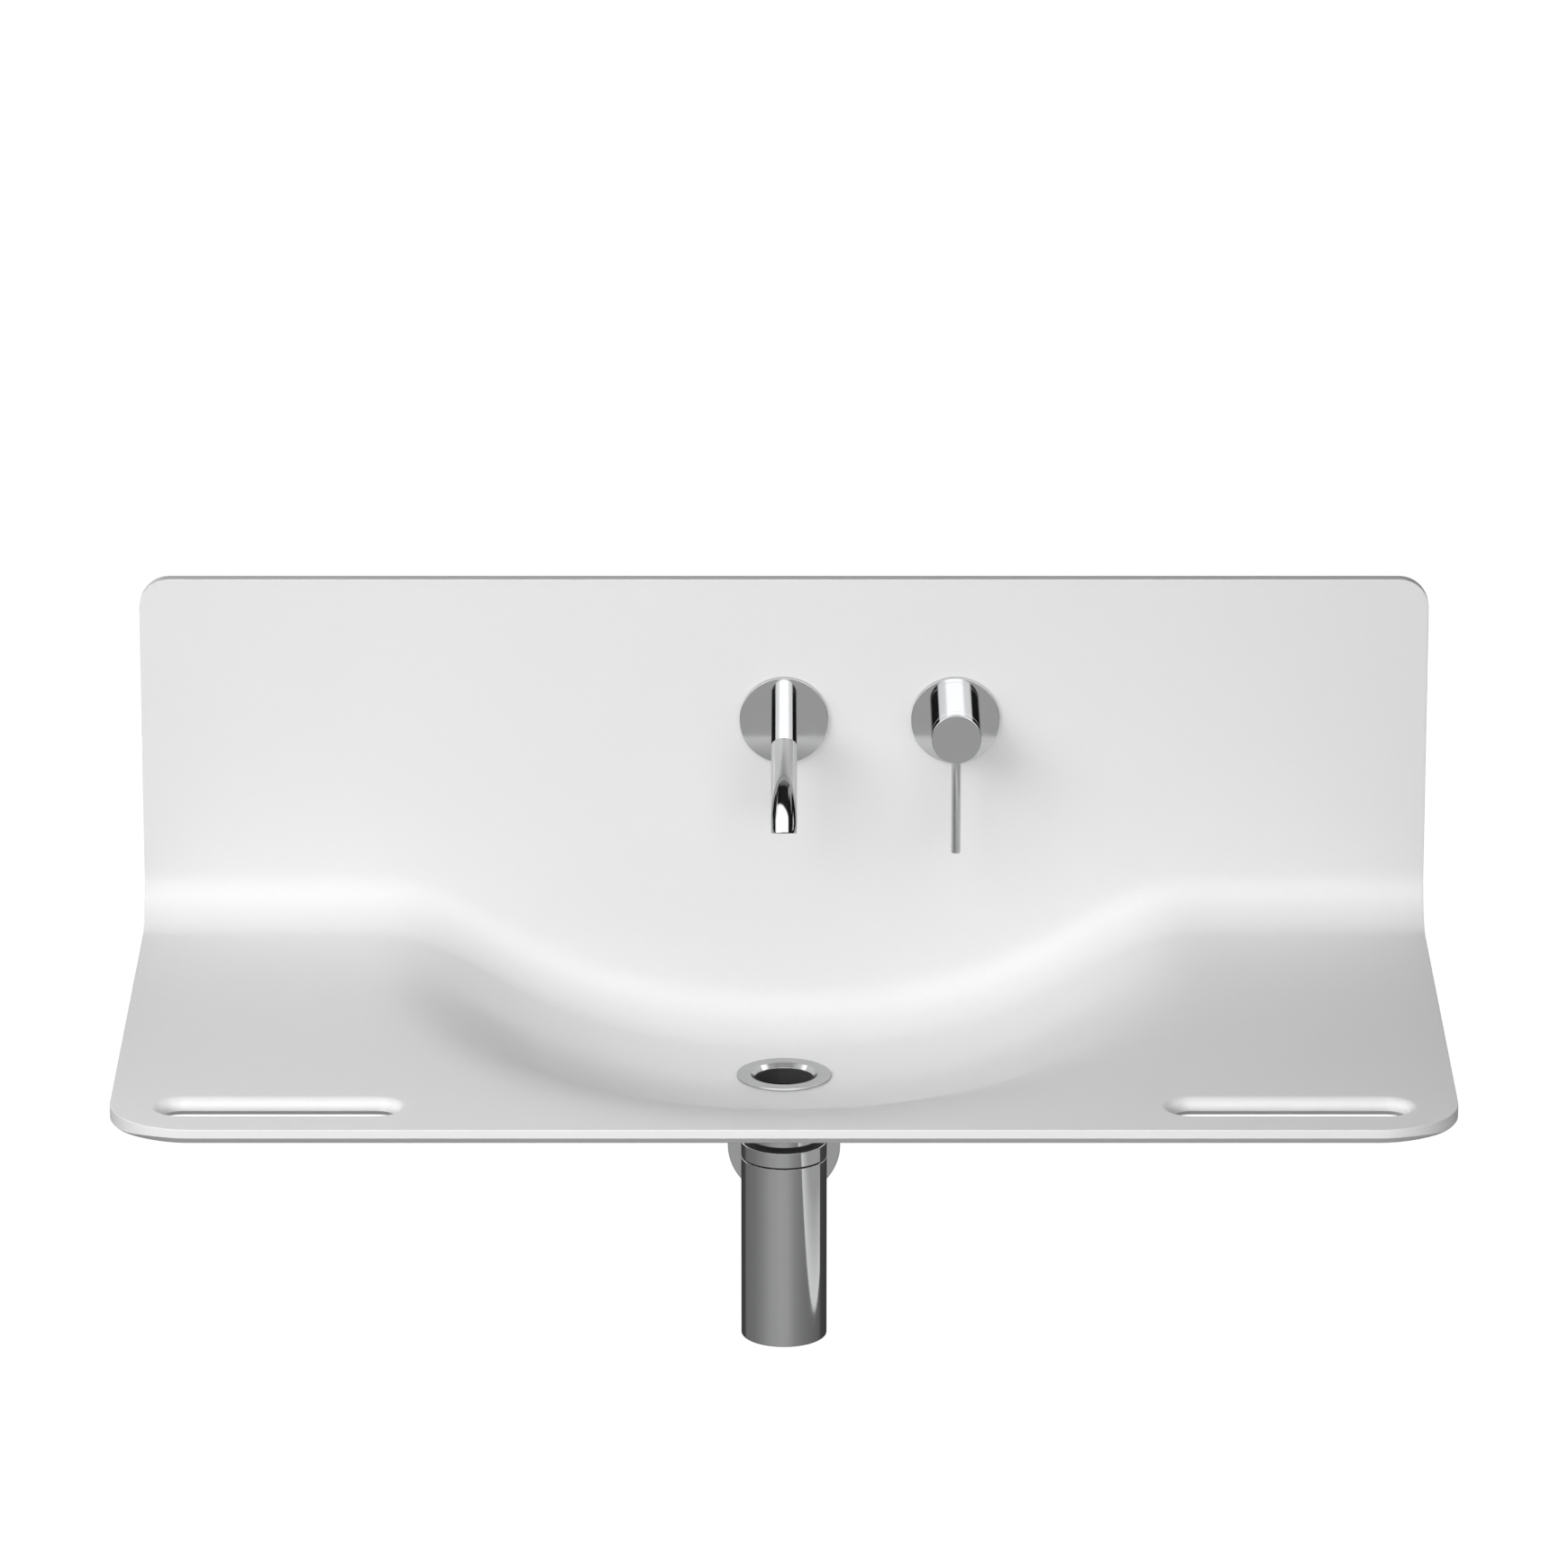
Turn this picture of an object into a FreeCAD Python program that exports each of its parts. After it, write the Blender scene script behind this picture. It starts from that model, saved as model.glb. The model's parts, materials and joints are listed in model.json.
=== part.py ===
import FreeCAD, Part
import math
import os

# Wall-hung vanity top: a thin moulded sheet whose deck turns up into a splash panel and dips into a wash bowl,
# with a wall spout, a one-hole progressive mixer, a free-flow waste and a bottle trap.
# Millimetres. X to the right, the front faces -Y, Z up. Y = 0 is the wall, Z = 0 the deck's top.

V = FreeCAD.Vector

# ---- sheet
WIDTH = 900.0            # overall width
DEPTH = 450.0            # wall to front edge
UPSTAND = 250.0          # deck to top of the splash panel
SHEET = 10.0             # sheet thickness
BEND_R = 36.0            # inside radius of the bend between panel and deck
TOP_CORNER_R = 21.0
FRONT_CORNER_R = 56.0

# ---- bowl
BOWL_DEPTH = 84.0
BOWL_HALF_X = 290.0      # where the bowl's side meets the flat deck
BOWL_FRONT = 329.0       # from the waste to where the bowl's front meets the flat deck
BOWL_BACK = 900.0        # fall of the floor from the panel to the waste
WASTE_D = 95.0           # waste axis, from the panel's face
WALL_A, WALL_P, WALL_K = 0.8597, 2.3506, 0.4717   # profile of the bowl's wall

# ---- towel slots
SLOT_X = 337.0           # middle of each slot
SLOT_LEN = 157.0
SLOT_W = 28.0
SLOT_EDGE_R = 6.8        # soft upper edge of the slots
SLOT_D = 393.0           # slot's middle, from the panel's face

# ---- taps
TAP_Z = 148.0
MIXER_X = 120.0
ROSETTE_R = 31.0
ROSETTE_T = 4.0
SPOUT_R = 9.0
SPOUT_BORE = 7.0
SPOUT_MOUTH = 8.1        # wider bore of the drop's lower part
SPOUT_REACH = 60.0       # rosette face to the drop's axis
SPOUT_DROP = 64.0        # tube axis to the open end
SCOOP_TOP = 22.0         # tube axis to where the scoop starts, on the drop's front
SCOOP_BACK = 3.4         # scoop's cut behind the drop's axis, at its open end
MIXER_R = 17.5
SLEEVE_LEN = 35.0
KNOB_T = 10.0
LEVER_R = 3.25
LEVER_END = 84.0         # knob axis to the lever's tip

# ---- waste and trap
FLANGE_R = 33.0
WASTE_BORE_R = 20.8
TRAP_R = 30.0
TRAP_WALL = 3.0
TRAP_TOP = -130.5
TRAP_JOINT = -142.0
TRAP_BOTTOM = -274.7
OUTLET_Z = -170.0
PIPE_R = 16.0
PIPE_END = 60.0          # outlet pipe's end, behind the wall's face
WALL_ROSETTE_R = 40.0
NECK_R = 25.0

# ---- brackets
BRACKET_X = 345.0
BRACKET_W = 60.0
BRACKET_T = 6.0
BRACKET_REACH = 300.0
BRACKET_DROP = 140.0
BLOCK_T = 12.0
WALL_HOLE_R = 4.5
WALL_HOLE_Z = (-60.0, -115.0)
BRACKET_SCREW_Y = (-150.0, -250.0)

# ---- in the wall
BODY_Y0, BODY_Y1 = 12.0, 56.0
PIPE_Y = 34.0            # middle of the concealed pipe and body
INLET_R = 9.5
INLET_LEN = 18.0
INLET_DX = 20.0

PANEL_Y = -SHEET
WASTE_Y = PANEL_Y - WASTE_D

os.makedirs("parts", exist_ok=True)


def save(name, shape):
    if shape.ShapeType == "Compound" and len(shape.Solids) == 1:
        shape = shape.Solids[0]
    print("%-22s solids %d volume %.0f valid %s" % (name, len(shape.Solids), shape.Volume, shape.isValid()))
    shape.exportStep("parts/%s.step" % name)


def cyl_z(r, z0, z1, x=0.0, y=0.0):
    return Part.makeCylinder(r, abs(z1 - z0), V(x, y, min(z0, z1)))


def cyl_y(r, y0, y1, x=0.0, z=0.0):
    return Part.makeCylinder(r, abs(y1 - y0), V(x, min(y0, y1), z), V(0, 1, 0))


def cyl_x(r, x0, x1, y=0.0, z=0.0):
    return Part.makeCylinder(r, abs(x1 - x0), V(min(x0, x1), y, z), V(1, 0, 0))


def ring_z(ro, ri, z0, z1, x=0.0, y=0.0):
    return cyl_z(ro, z0, z1, x, y).cut(cyl_z(ri, min(z0, z1) - 1, max(z0, z1) + 1, x, y))


def ring_y(ro, ri, y0, y1, x=0.0, z=0.0):
    return cyl_y(ro, y0, y1, x, z).cut(cyl_y(ri, min(y0, y1) - 1, max(y0, y1) + 1, x, z))


def lathe_z(profile, x=0.0, y=0.0):
    """profile: (radius, z) points of a closed outline."""
    pts = [V(x + r, y, z) for r, z in profile]
    face = Part.Face(Part.makePolygon(pts + pts[:1]))
    return face.revolve(V(x, y, 0), V(0, 0, 1), 360)


def lathe_y(profile, x=0.0, z=0.0):
    """profile: (radius, y) points of a closed outline."""
    pts = [V(x + r, yy, z) for r, yy in profile]
    face = Part.Face(Part.makePolygon(pts + pts[:1]))
    return face.revolve(V(x, 0, z), V(0, 1, 0), 360)


def box(x0, x1, y0, y1, z0, z1):
    return Part.makeBox(x1 - x0, y1 - y0, z1 - z0, V(x0, y0, z0))


def hex_x(across, x0, x1, y, z):
    r = across / math.sqrt(3.0)
    pts = [V(x0, y + r * math.cos(math.radians(60 * i)), z + r * math.sin(math.radians(60 * i))) for i in range(6)]
    return Part.Face(Part.makePolygon(pts + pts[:1])).extrude(V(x1 - x0, 0, 0))


# ------------------------------------------------------------------ basin top
def wall_profile(rho):
    """Share of the bowl's depth at a relative radius: 1 on the floor, 0 on the deck."""
    p = 1.0 - (rho / WALL_A) ** WALL_P
    if p >= WALL_K:
        return p
    if p <= -WALL_K:
        return 0.0
    t = (p + WALL_K) / (2 * WALL_K)
    return 2 * WALL_K * (t ** 3 - t ** 4 / 2)


def floor_z(x, d):
    """Deck and bowl height at x and at a distance d in front of the panel's face."""
    e = d - WASTE_D
    rho = math.sqrt((x / BOWL_HALF_X) ** 2 + (e / (BOWL_FRONT if e > 0 else BOWL_BACK)) ** 2)
    return -BOWL_DEPTH * wall_profile(rho)


def skin_point(x, s):
    """s from 0 to 1 runs round the bend, and from 1 to 2 over the deck to the front edge."""
    if s <= 1.0:
        a = s * math.pi / 2
        d = BEND_R * (1 - math.cos(a))
        return (x, d, floor_z(x, d) + BEND_R * (1 - math.sin(a)))
    d = BEND_R + (s - 1.0) * (DEPTH - SHEET - BEND_R)
    return (x, d, floor_z(x, d))


def skin_normal(x, s):
    """Unit normal towards the back and the underside."""
    h = 1e-4
    if s <= 1.0:
        # tangents round the bend and across
        a = s * math.pi / 2
        d = BEND_R * (1 - math.cos(a))
        fx = (floor_z(x + h, d) - floor_z(x - h, d)) / (2 * h)
        fd = (floor_z(x, d + h) - floor_z(x, d - h)) / (2 * h)
        tx = V(1, 0, fx)
        ts = V(0, math.sin(a), fd * math.sin(a) - math.cos(a))
    else:
        d = BEND_R + (s - 1.0) * (DEPTH - SHEET - BEND_R)
        fx = (floor_z(x + h, d) - floor_z(x - h, d)) / (2 * h)
        fd = (floor_z(x, d + h) - floor_z(x, d - h)) / (2 * h)
        tx = V(1, 0, fx)
        ts = V(0, 1, fd)
    n = ts.cross(tx)
    n.normalize()
    return n


XS = [WIDTH * (i / 72.0 - 0.5) for i in range(73)]
SS = [i / 10.0 for i in range(11)] + [1.0 + i / 34.0 for i in range(1, 35)]


def skin(offset):
    rows = []
    for x in XS:
        row = []
        for s in SS:
            px, d, z = skin_point(x, s)
            p = V(px, d, z)
            if offset:
                n = skin_normal(x, s)
                if s == 0.0:
                    n = V(0, -1, 0)
                elif s == SS[-1]:
                    n = V(0, 0, -1)
                if abs(x) > 449.9:
                    n = V(0, n.y, n.z)
                    n.normalize()
                p = p + n * offset
            row.append(V(p.x, PANEL_Y - p.y, p.z))
        rows.append(row)
    b = Part.BSplineSurface()
    b.interpolate(rows)
    # the patch's borders lie exactly in the panel's, the sides' and the front's planes
    nu, nv = b.NbUPoles, b.NbVPoles
    for i in range(1, nu + 1):
        for j in range(1, nv + 1):
            if 1 < i < nu and 1 < j < nv:
                continue
            p = b.getPole(i, j)
            if i in (1, nu):
                p.x = -WIDTH / 2 if i == 1 else WIDTH / 2
            if j == 1:
                p.y = PANEL_Y + offset
            elif j == nv:
                p.y, p.z = -DEPTH, -offset
            if i in (1, nu) and j == 1:
                p.z = BEND_R
            b.setPole(i, j, p)
    return b


def basin():
    inner, outer = skin(0.0), skin(SHEET)
    fi, fo = inner.toShape(), outer.toShape()
    hw = WIDTH / 2

    def pick(face, test):
        for e in face.Edges:
            if all(test(e.valueAt(e.FirstParameter + (e.LastParameter - e.FirstParameter) * k / 8.0)) for k in range(9)):
                return e
        raise ValueError("edge not found")

    def near(a, b):
        return abs(a - b) < 1e-3

    in_top = pick(fi, lambda p: near(p.y, PANEL_Y))
    out_top = pick(fo, lambda p: near(p.y, 0.0))
    in_front = pick(fi, lambda p: near(p.y, -DEPTH))
    out_front = pick(fo, lambda p: near(p.y, -DEPTH))
    faces = [fi, fo]

    def line(a, b):
        return Part.makeLine(a, b)

    def planar(edges):
        w = Part.Wire(Part.__sortEdges__(edges))
        f = Part.Face(w)
        faces.append(f)

    zt = BEND_R
    for y, curve in ((PANEL_Y, in_top), (0.0, out_top)):
        planar([curve, line(V(hw, y, zt), V(hw, y, UPSTAND)), line(V(hw, y, UPSTAND), V(-hw, y, UPSTAND)),
                line(V(-hw, y, UPSTAND), V(-hw, y, zt))])
    for x in (-hw, hw):
        a = pick(fi, lambda p: near(p.x, x))
        b = pick(fo, lambda p: near(p.x, x))
        planar([a, b, line(V(x, -DEPTH, 0), V(x, -DEPTH, -SHEET)), line(V(x, PANEL_Y, zt), V(x, PANEL_Y, UPSTAND)),
                line(V(x, PANEL_Y, UPSTAND), V(x, 0, UPSTAND)), line(V(x, 0, UPSTAND), V(x, 0, zt))])
    planar([line(V(-hw, PANEL_Y, UPSTAND), V(hw, PANEL_Y, UPSTAND)), line(V(hw, PANEL_Y, UPSTAND), V(hw, 0, UPSTAND)),
            line(V(hw, 0, UPSTAND), V(-hw, 0, UPSTAND)), line(V(-hw, 0, UPSTAND), V(-hw, PANEL_Y, UPSTAND))])
    planar([in_front, out_front, line(V(-hw, -DEPTH, 0), V(-hw, -DEPTH, -SHEET)), line(V(hw, -DEPTH, 0), V(hw, -DEPTH, -SHEET))])

    shell = Part.makeShell(faces)
    shell.sewShape(1e-4)
    solid = Part.makeSolid(shell if shell.ShapeType == "Shell" else shell.Shells[0])
    if solid.Volume < 0:
        solid.reverse()

    # boss round the waste hole, flat below for the waste's seal
    solid = solid.fuse(cyl_z(36.0, -96.0, -88.0, 0, WASTE_Y))
    cutters = []
    # rounded corners
    for sx in (-1, 1):
        r = TOP_CORNER_R
        c = box(min(sx * (hw - r), sx * (hw + 5)), max(sx * (hw - r), sx * (hw + 5)), -20, 10, UPSTAND - r, UPSTAND + 5)
        cutters.append(c.cut(cyl_y(r, -25, 15, sx * (hw - r), UPSTAND - r)))
        r = FRONT_CORNER_R
        c = box(min(sx * (hw - r), sx * (hw + 5)), max(sx * (hw - r), sx * (hw + 5)), -DEPTH - 5, -DEPTH + r, -30, 20)
        cutters.append(c.cut(cyl_z(r, -40, 30, sx * (hw - r), -DEPTH + r)))
        # towel slots
        y = PANEL_Y - SLOT_D
        h = SLOT_LEN / 2 - SLOT_W / 2
        s = box(sx * SLOT_X - h, sx * SLOT_X + h, y - SLOT_W / 2, y + SLOT_W / 2, -30, 20)
        s = s.fuse([cyl_z(SLOT_W / 2, -30, 20, sx * SLOT_X - h, y), cyl_z(SLOT_W / 2, -30, 20, sx * SLOT_X + h, y)])
        cutters.append(s)
    cutters.append(cyl_y(15.0, -30, 20, 0, TAP_Z))
    cutters.append(cyl_y(21.0, -30, 20, MIXER_X, TAP_Z))
    cutters.append(cyl_z(23.0, -110, -60, 0, WASTE_Y))
    cutters.append(cyl_z(FLANGE_R + 0.6, -84.2, -60, 0, WASTE_Y))
    out = solid.cut(cutters)
    out = out.Solids[0] if len(out.Solids) == 1 else out
    # the slots' upper edges are softly rounded for the towels
    soft = []
    for e in out.Edges:
        pts = [e.valueAt(e.FirstParameter + (e.LastParameter - e.FirstParameter) * k / 6.0) for k in range(7)]
        if all(abs(p.z) < 0.2 and abs(abs(p.x) - SLOT_X) < SLOT_LEN / 2 + 0.5 and abs(p.y - PANEL_Y + SLOT_D) < SLOT_W / 2 + 0.5 for p in pts):
            soft.append(e)
    return out.makeFillet(SLOT_EDGE_R, soft)


save("basin_top", basin())

# ------------------------------------------------------------------ brackets under the deck
block_y0, block_y1 = -300.0, -100.0
block_z = -SHEET - BLOCK_T
blocks, inserts, screws, washers = [], [], [], []
for sx, side in ((-1, "left"), (1, "right")):
    bx = sx * BRACKET_X
    hw = BRACKET_W / 2
    b = box(bx - hw, bx + hw, block_y0, block_y1, block_z, -SHEET)
    for y in BRACKET_SCREW_Y:
        b = b.cut(cyl_z(4.55, block_z - 1, block_z + 10.2, bx, y))
        inserts.append(ring_z(4.5, 3.05, block_z, block_z + 10.0, bx, y))
        z0 = block_z - BRACKET_T - 1.2
        sc = cyl_z(3.0, z0 - 0.5, block_z + 9.0, bx, y).fuse(cyl_z(5.5, z0 - 3.6, z0, bx, y))
        sc = sc.cut(Part.Face(Part.makePolygon([V(bx + 2.3 * math.cos(math.radians(60 * i)), y + 2.3 * math.sin(math.radians(60 * i)), z0 - 4.0) for i in range(7)])).extrude(V(0, 0, 2.4)))
        screws.append(sc)
        washers.append(ring_z(6.5, 3.2, z0, z0 + 1.2, bx, y))
    blocks.append(b)
    arm = box(bx - hw, bx + hw, -BRACKET_REACH, 0, block_z - BRACKET_T, block_z)
    leg = box(bx - hw, bx + hw, -BRACKET_T, 0, -BRACKET_DROP, block_z)
    # folded side web on the outer edge
    wx0, wx1 = (bx + hw - 4.0, bx + hw) if sx > 0 else (bx - hw, bx - hw + 4.0)
    web = Part.Face(Part.makePolygon([V(wx0, -BRACKET_T + 1, block_z - 2), V(wx0, -220, block_z - 2), V(wx0, -220, block_z - BRACKET_T - 6),
                                      V(wx0, -26, -BRACKET_DROP + 16), V(wx0, -BRACKET_T + 1, -BRACKET_DROP + 16), V(wx0, -BRACKET_T + 1, block_z - 2)])).extrude(V(wx1 - wx0, 0, 0))
    br = arm.fuse([leg, web]).removeSplitter()
    for y in BRACKET_SCREW_Y:
        br = br.cut(cyl_z(3.3, -60, 0, bx, y))
    for z in WALL_HOLE_Z:
        br = br.cut(cyl_y(WALL_HOLE_R, -20, 10, bx, z))
    save("bracket_" + side, br)
save("support_blocks", Part.makeCompound(blocks))
save("bracket_inserts", Part.makeCompound(inserts))
save("bracket_screws", Part.makeCompound(screws))
save("bracket_washers", Part.makeCompound(washers))

# ------------------------------------------------------------------ spout
face_y = PANEL_Y - ROSETTE_T          # rosette's front face


def rosette(x, hole):
    r, t = ROSETTE_R, ROSETTE_T
    return lathe_y([(hole, PANEL_Y - 1.6), (r - 3.2, PANEL_Y - 1.6), (r - 3.2, PANEL_Y - 0.02), (r, PANEL_Y - 0.02),
                    (r, face_y + 0.4), (r - 0.4, face_y), (hole, face_y)], x, TAP_Z)


save("spout_rosette", rosette(0.0, SPOUT_R + 0.15))
save("spout_rosette_seal", ring_y(ROSETTE_R - 3.4, 19.0, PANEL_Y - 1.55, PANEL_Y - 0.02, 0, TAP_Z))

drop_y = face_y - SPOUT_REACH


def mitred(r):
    big = 200.0
    h = cyl_y(r, drop_y - 3 * r, 6.0, 0, TAP_Z)
    v = cyl_z(r, TAP_Z - SPOUT_DROP, TAP_Z + 3 * r, 0, drop_y)

    def half(sign):
        # half space on one side of the plane that bisects the corner
        c = V(0, drop_y, TAP_Z)
        n = V(0, 1, 1).multiply(1 / math.sqrt(2.0))     # from the corner's outside towards the inside is (+y, -z)
        t = V(0, 1, -1).multiply(1 / math.sqrt(2.0))
        # the bisecting plane holds the directions X and t
        pts = [c + V(-big, 0, 0) - t * big, c + V(big, 0, 0) - t * big, c + V(big, 0, 0) + t * big, c + V(-big, 0, 0) + t * big]
        return Part.Face(Part.makePolygon(pts + pts[:1])).extrude(n * (sign * 2 * big))

    return h.common(half(1)).fuse(v.common(half(-1)))


tube = mitred(SPOUT_R)
bore = mitred(SPOUT_BORE)
low = cyl_z(SPOUT_MOUTH, TAP_Z - SPOUT_DROP - 2, TAP_Z - SCOOP_TOP + 8.0, 0, drop_y)
tube = tube.cut([bore, low])
# scoop: the drop's lower front is cut away along a slanting plane
p0 = V(-50, drop_y - SPOUT_R, TAP_Z - SCOOP_TOP)
p1 = V(-50, drop_y + SCOOP_BACK, TAP_Z - SPOUT_DROP)
u = (p1 - p0)
scoop = Part.Face(Part.makePolygon([p0 - u, p1 + u, V(-50, drop_y - 200, p1.z - 60), V(-50, drop_y - 200, p0.z + 60), p0 - u])).extrude(V(100, 0, 0))
tube = tube.cut(scoop)
grub_y = -22.0
tube = tube.cut(cyl_z(2.05, TAP_Z - SPOUT_R - 1, TAP_Z - SPOUT_BORE + 1, 0, grub_y))
save("spout_tube", tube.removeSplitter())
grub = cyl_z(2.0, TAP_Z - SPOUT_R + 0.2, TAP_Z - 6.4, 0, grub_y)
grub = grub.cut(Part.Face(Part.makePolygon([V(1.15 * math.cos(math.radians(60 * i)), grub_y + 1.15 * math.sin(math.radians(60 * i)), TAP_Z - SPOUT_R - 1) for i in range(7)])).extrude(V(0, 0, 2.2)))
save("spout_grub_screw", grub)

nipple = ring_y(6.9, 4.5, -34.0, 30.0, 0, TAP_Z)
for y in (-30.0, -14.0):
    nipple = nipple.cut(ring_y(8.0, 5.7, y - 1.1, y + 1.1, 0, TAP_Z))
nipple = nipple.cut(ring_y(8.0, 6.3, grub_y - 2.3, grub_y + 2.3, 0, TAP_Z))
save("spout_nipple", nipple)
save("spout_orings", Part.makeCompound([ring_y(6.95, 5.75, y - 1.0, y + 1.0, 0, TAP_Z) for y in (-30.0, -14.0)]))

# concealed elbow behind the spout, with a port towards the mixer
el = cyl_y(12.5, 10.0, 48.0, 0, TAP_Z).fuse(cyl_x(11.0, 0, 26.0, PIPE_Y, TAP_Z)).fuse(box(-22, 22, 42, 48, TAP_Z - 16, TAP_Z + 16))
el = el.cut([cyl_y(6.95, 9.0, 30.0, 0, TAP_Z), cyl_y(5.0, 30.0, 40.0, 0, TAP_Z), cyl_x(7.6, 12.0, 27.0, PIPE_Y, TAP_Z), cyl_x(5.0, 0, 12.5, PIPE_Y, TAP_Z)])
save("spout_elbow", el.removeSplitter())

body_x0, body_x1 = MIXER_X - 38.0, MIXER_X + 38.0
pipe = cyl_x(7.5, 13.0, body_x0 + 13.0, PIPE_Y, TAP_Z).cut(cyl_x(6.3, 12.0, body_x0 + 14.0, PIPE_Y, TAP_Z))
save("mixed_water_pipe", pipe)
nuts = []
for a, b in ((26.2, 38.0), (body_x0 - 12.0, body_x0 - 0.2)):
    nuts.append(hex_x(22.0, a, b, PIPE_Y, TAP_Z).cut(cyl_x(7.6, a - 1, b + 1, PIPE_Y, TAP_Z)))
save("pipe_nuts", Part.makeCompound(nuts))

# ------------------------------------------------------------------ mixer
sleeve_end = face_y - SLEEVE_LEN
knob_back = sleeve_end - 0.3
knob_front = face_y - SLEEVE_LEN - KNOB_T
lever_y = knob_front + 5.0
save("mixer_rosette", rosette(MIXER_X, MIXER_R + 0.15))
save("mixer_rosette_seal", ring_y(ROSETTE_R - 3.4, 22.0, PANEL_Y - 1.55, PANEL_Y - 0.02, MIXER_X, TAP_Z))
save("mixer_sleeve", lathe_y([(15.5, PANEL_Y - 0.5), (MIXER_R, PANEL_Y - 0.5), (MIXER_R, sleeve_end + 0.25), (MIXER_R - 0.25, sleeve_end), (15.5, sleeve_end)], MIXER_X, TAP_Z))

vb = box(body_x0, body_x1, BODY_Y0, BODY_Y1, TAP_Z - 34, TAP_Z + 34)
vb = vb.makeFillet(6.0, [e for e in vb.Edges if abs(e.tangentAt(e.FirstParameter).y) > 0.9])
vb = vb.fuse(cyl_y(15.2, -30.0, BODY_Y0 + 2, MIXER_X, TAP_Z))
vb = vb.cut(cyl_y(12.05, -31.0, 28.1, MIXER_X, TAP_Z))
vb = vb.cut(ring_y(17.0, 14.0, -22.2, -19.8, MIXER_X, TAP_Z))
for sx in (-1, 1):
    x = MIXER_X + sx * INLET_DX
    vb = vb.cut(cyl_z(INLET_R, TAP_Z - 35, TAP_Z - 34 + INLET_LEN, x, PIPE_Y))
    vb = vb.cut(cyl_z(4.0, TAP_Z - 34 + INLET_LEN - 1, TAP_Z - 3, MIXER_X + sx * 6.0, PIPE_Y))
vb = vb.cut(cyl_x(7.6, body_x0 - 1, body_x0 + 13.2, PIPE_Y, TAP_Z))
vb = vb.cut(cyl_x(5.0, body_x0 + 13.0, MIXER_X - 4, PIPE_Y + 2, TAP_Z))
save("valve_body", vb.removeSplitter())
save("sleeve_oring", ring_y(15.45, 14.05, -22.1, -19.9, MIXER_X, TAP_Z))
house = cyl_y(12.0, -22.0, 28.0, MIXER_X, TAP_Z)
house = house.cut([cyl_y(10.0, 4.0, 29.0, MIXER_X, TAP_Z), cyl_y(5.05, -23.0, 5.0, MIXER_X, TAP_Z)])
save("cartridge_housing", house)
nut = ring_y(11.95, 6.0, -29.8, -22.1, MIXER_X, TAP_Z)
for k in range(4):
    a = math.radians(45 + 90 * k)
    nut = nut.cut(cyl_y(1.6, -31, -26.5, MIXER_X + 9.0 * math.cos(a), TAP_Z + 9.0 * math.sin(a)))
save("cartridge_nut", nut)
disc = cyl_y(9.9, 12.1, 17.0, MIXER_X, TAP_Z)
for sx in (-1, 1):
    disc = disc.cut(cyl_y(2.6, 11, 18, MIXER_X + sx * 5.0, TAP_Z - 2.0))
disc = disc.cut(cyl_y(2.6, 11, 18, MIXER_X, TAP_Z + 5.0))
save("ceramic_disc_fixed", disc)
seal = ring_y(9.85, 8.2, 17.05, 27.9, MIXER_X, TAP_Z)
save("cartridge_base_seal", seal)

# turning pieces
spindle = cyl_y(5.0, knob_front + 3.0, 4.5, MIXER_X, TAP_Z).fuse(cyl_y(9.5, 4.3, 7.9, MIXER_X, TAP_Z))
flat = box(MIXER_X - 10, MIXER_X + 10, knob_front, knob_back + 0.1, TAP_Z - 10, TAP_Z - 4.0)
spindle = spindle.cut(flat)
save("cartridge_spindle", spindle.removeSplitter())
turn = cyl_y(9.5, 7.95, 12.0, MIXER_X, TAP_Z).cut(box(MIXER_X - 3, MIXER_X + 3, 10.0, 13.0, TAP_Z - 7, TAP_Z + 7))
save("ceramic_disc_turning", turn)
knob = lathe_y([(0, knob_front), (MIXER_R - 0.35, knob_front), (MIXER_R, knob_front + 0.35), (MIXER_R, knob_back - 0.25), (MIXER_R - 0.25, knob_back), (0, knob_back)], MIXER_X, TAP_Z)
knob = knob.cut(cyl_y(5.05, knob_front + 2.9, knob_back + 1, MIXER_X, TAP_Z))
knob = knob.cut(cyl_z(LEVER_R + 0.02, TAP_Z - MIXER_R - 2, TAP_Z - 3.0, MIXER_X, lever_y))
save("mixer_knob", knob)
lever = cyl_z(LEVER_R, TAP_Z - LEVER_END, TAP_Z - 4.1, MIXER_X, lever_y)
lever = lever.makeChamfer(0.4, [e for e in lever.Edges if abs(e.BoundBox.ZMax - (TAP_Z - LEVER_END)) < 1e-6])
save("mixer_lever", lever)

# ------------------------------------------------------------------ waste
wy = WASTE_Y
seat = -84.2
flange_z = seat + 0.8
top_z = flange_z + 2.0
prof = [(WASTE_BORE_R, -100.0), (WASTE_BORE_R + 1.2, -100.0), (WASTE_BORE_R + 1.2, flange_z), (FLANGE_R, flange_z), (FLANGE_R, flange_z + 0.7), (FLANGE_R - 1.6, top_z),
        (WASTE_BORE_R + 2.1, top_z), (WASTE_BORE_R, top_z - 2.5)]
fl = lathe_z(prof, 0, wy)
cross = cyl_z(5.5, -100.0, -95.5, 0, wy)
for k in range(3):
    bar = box(-21.2, 21.2, -1.6, 1.6, -100.0, -96.5)
    bar.rotate(V(0, 0, 0), V(0, 0, 1), 30 + 60 * k)
    bar.translate(V(0, wy, 0))
    cross = cross.fuse(bar)
fl = fl.fuse(cross).cut(cyl_z(3.2, -110, -80, 0, wy))
save("waste_flange", fl.removeSplitter())
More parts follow.
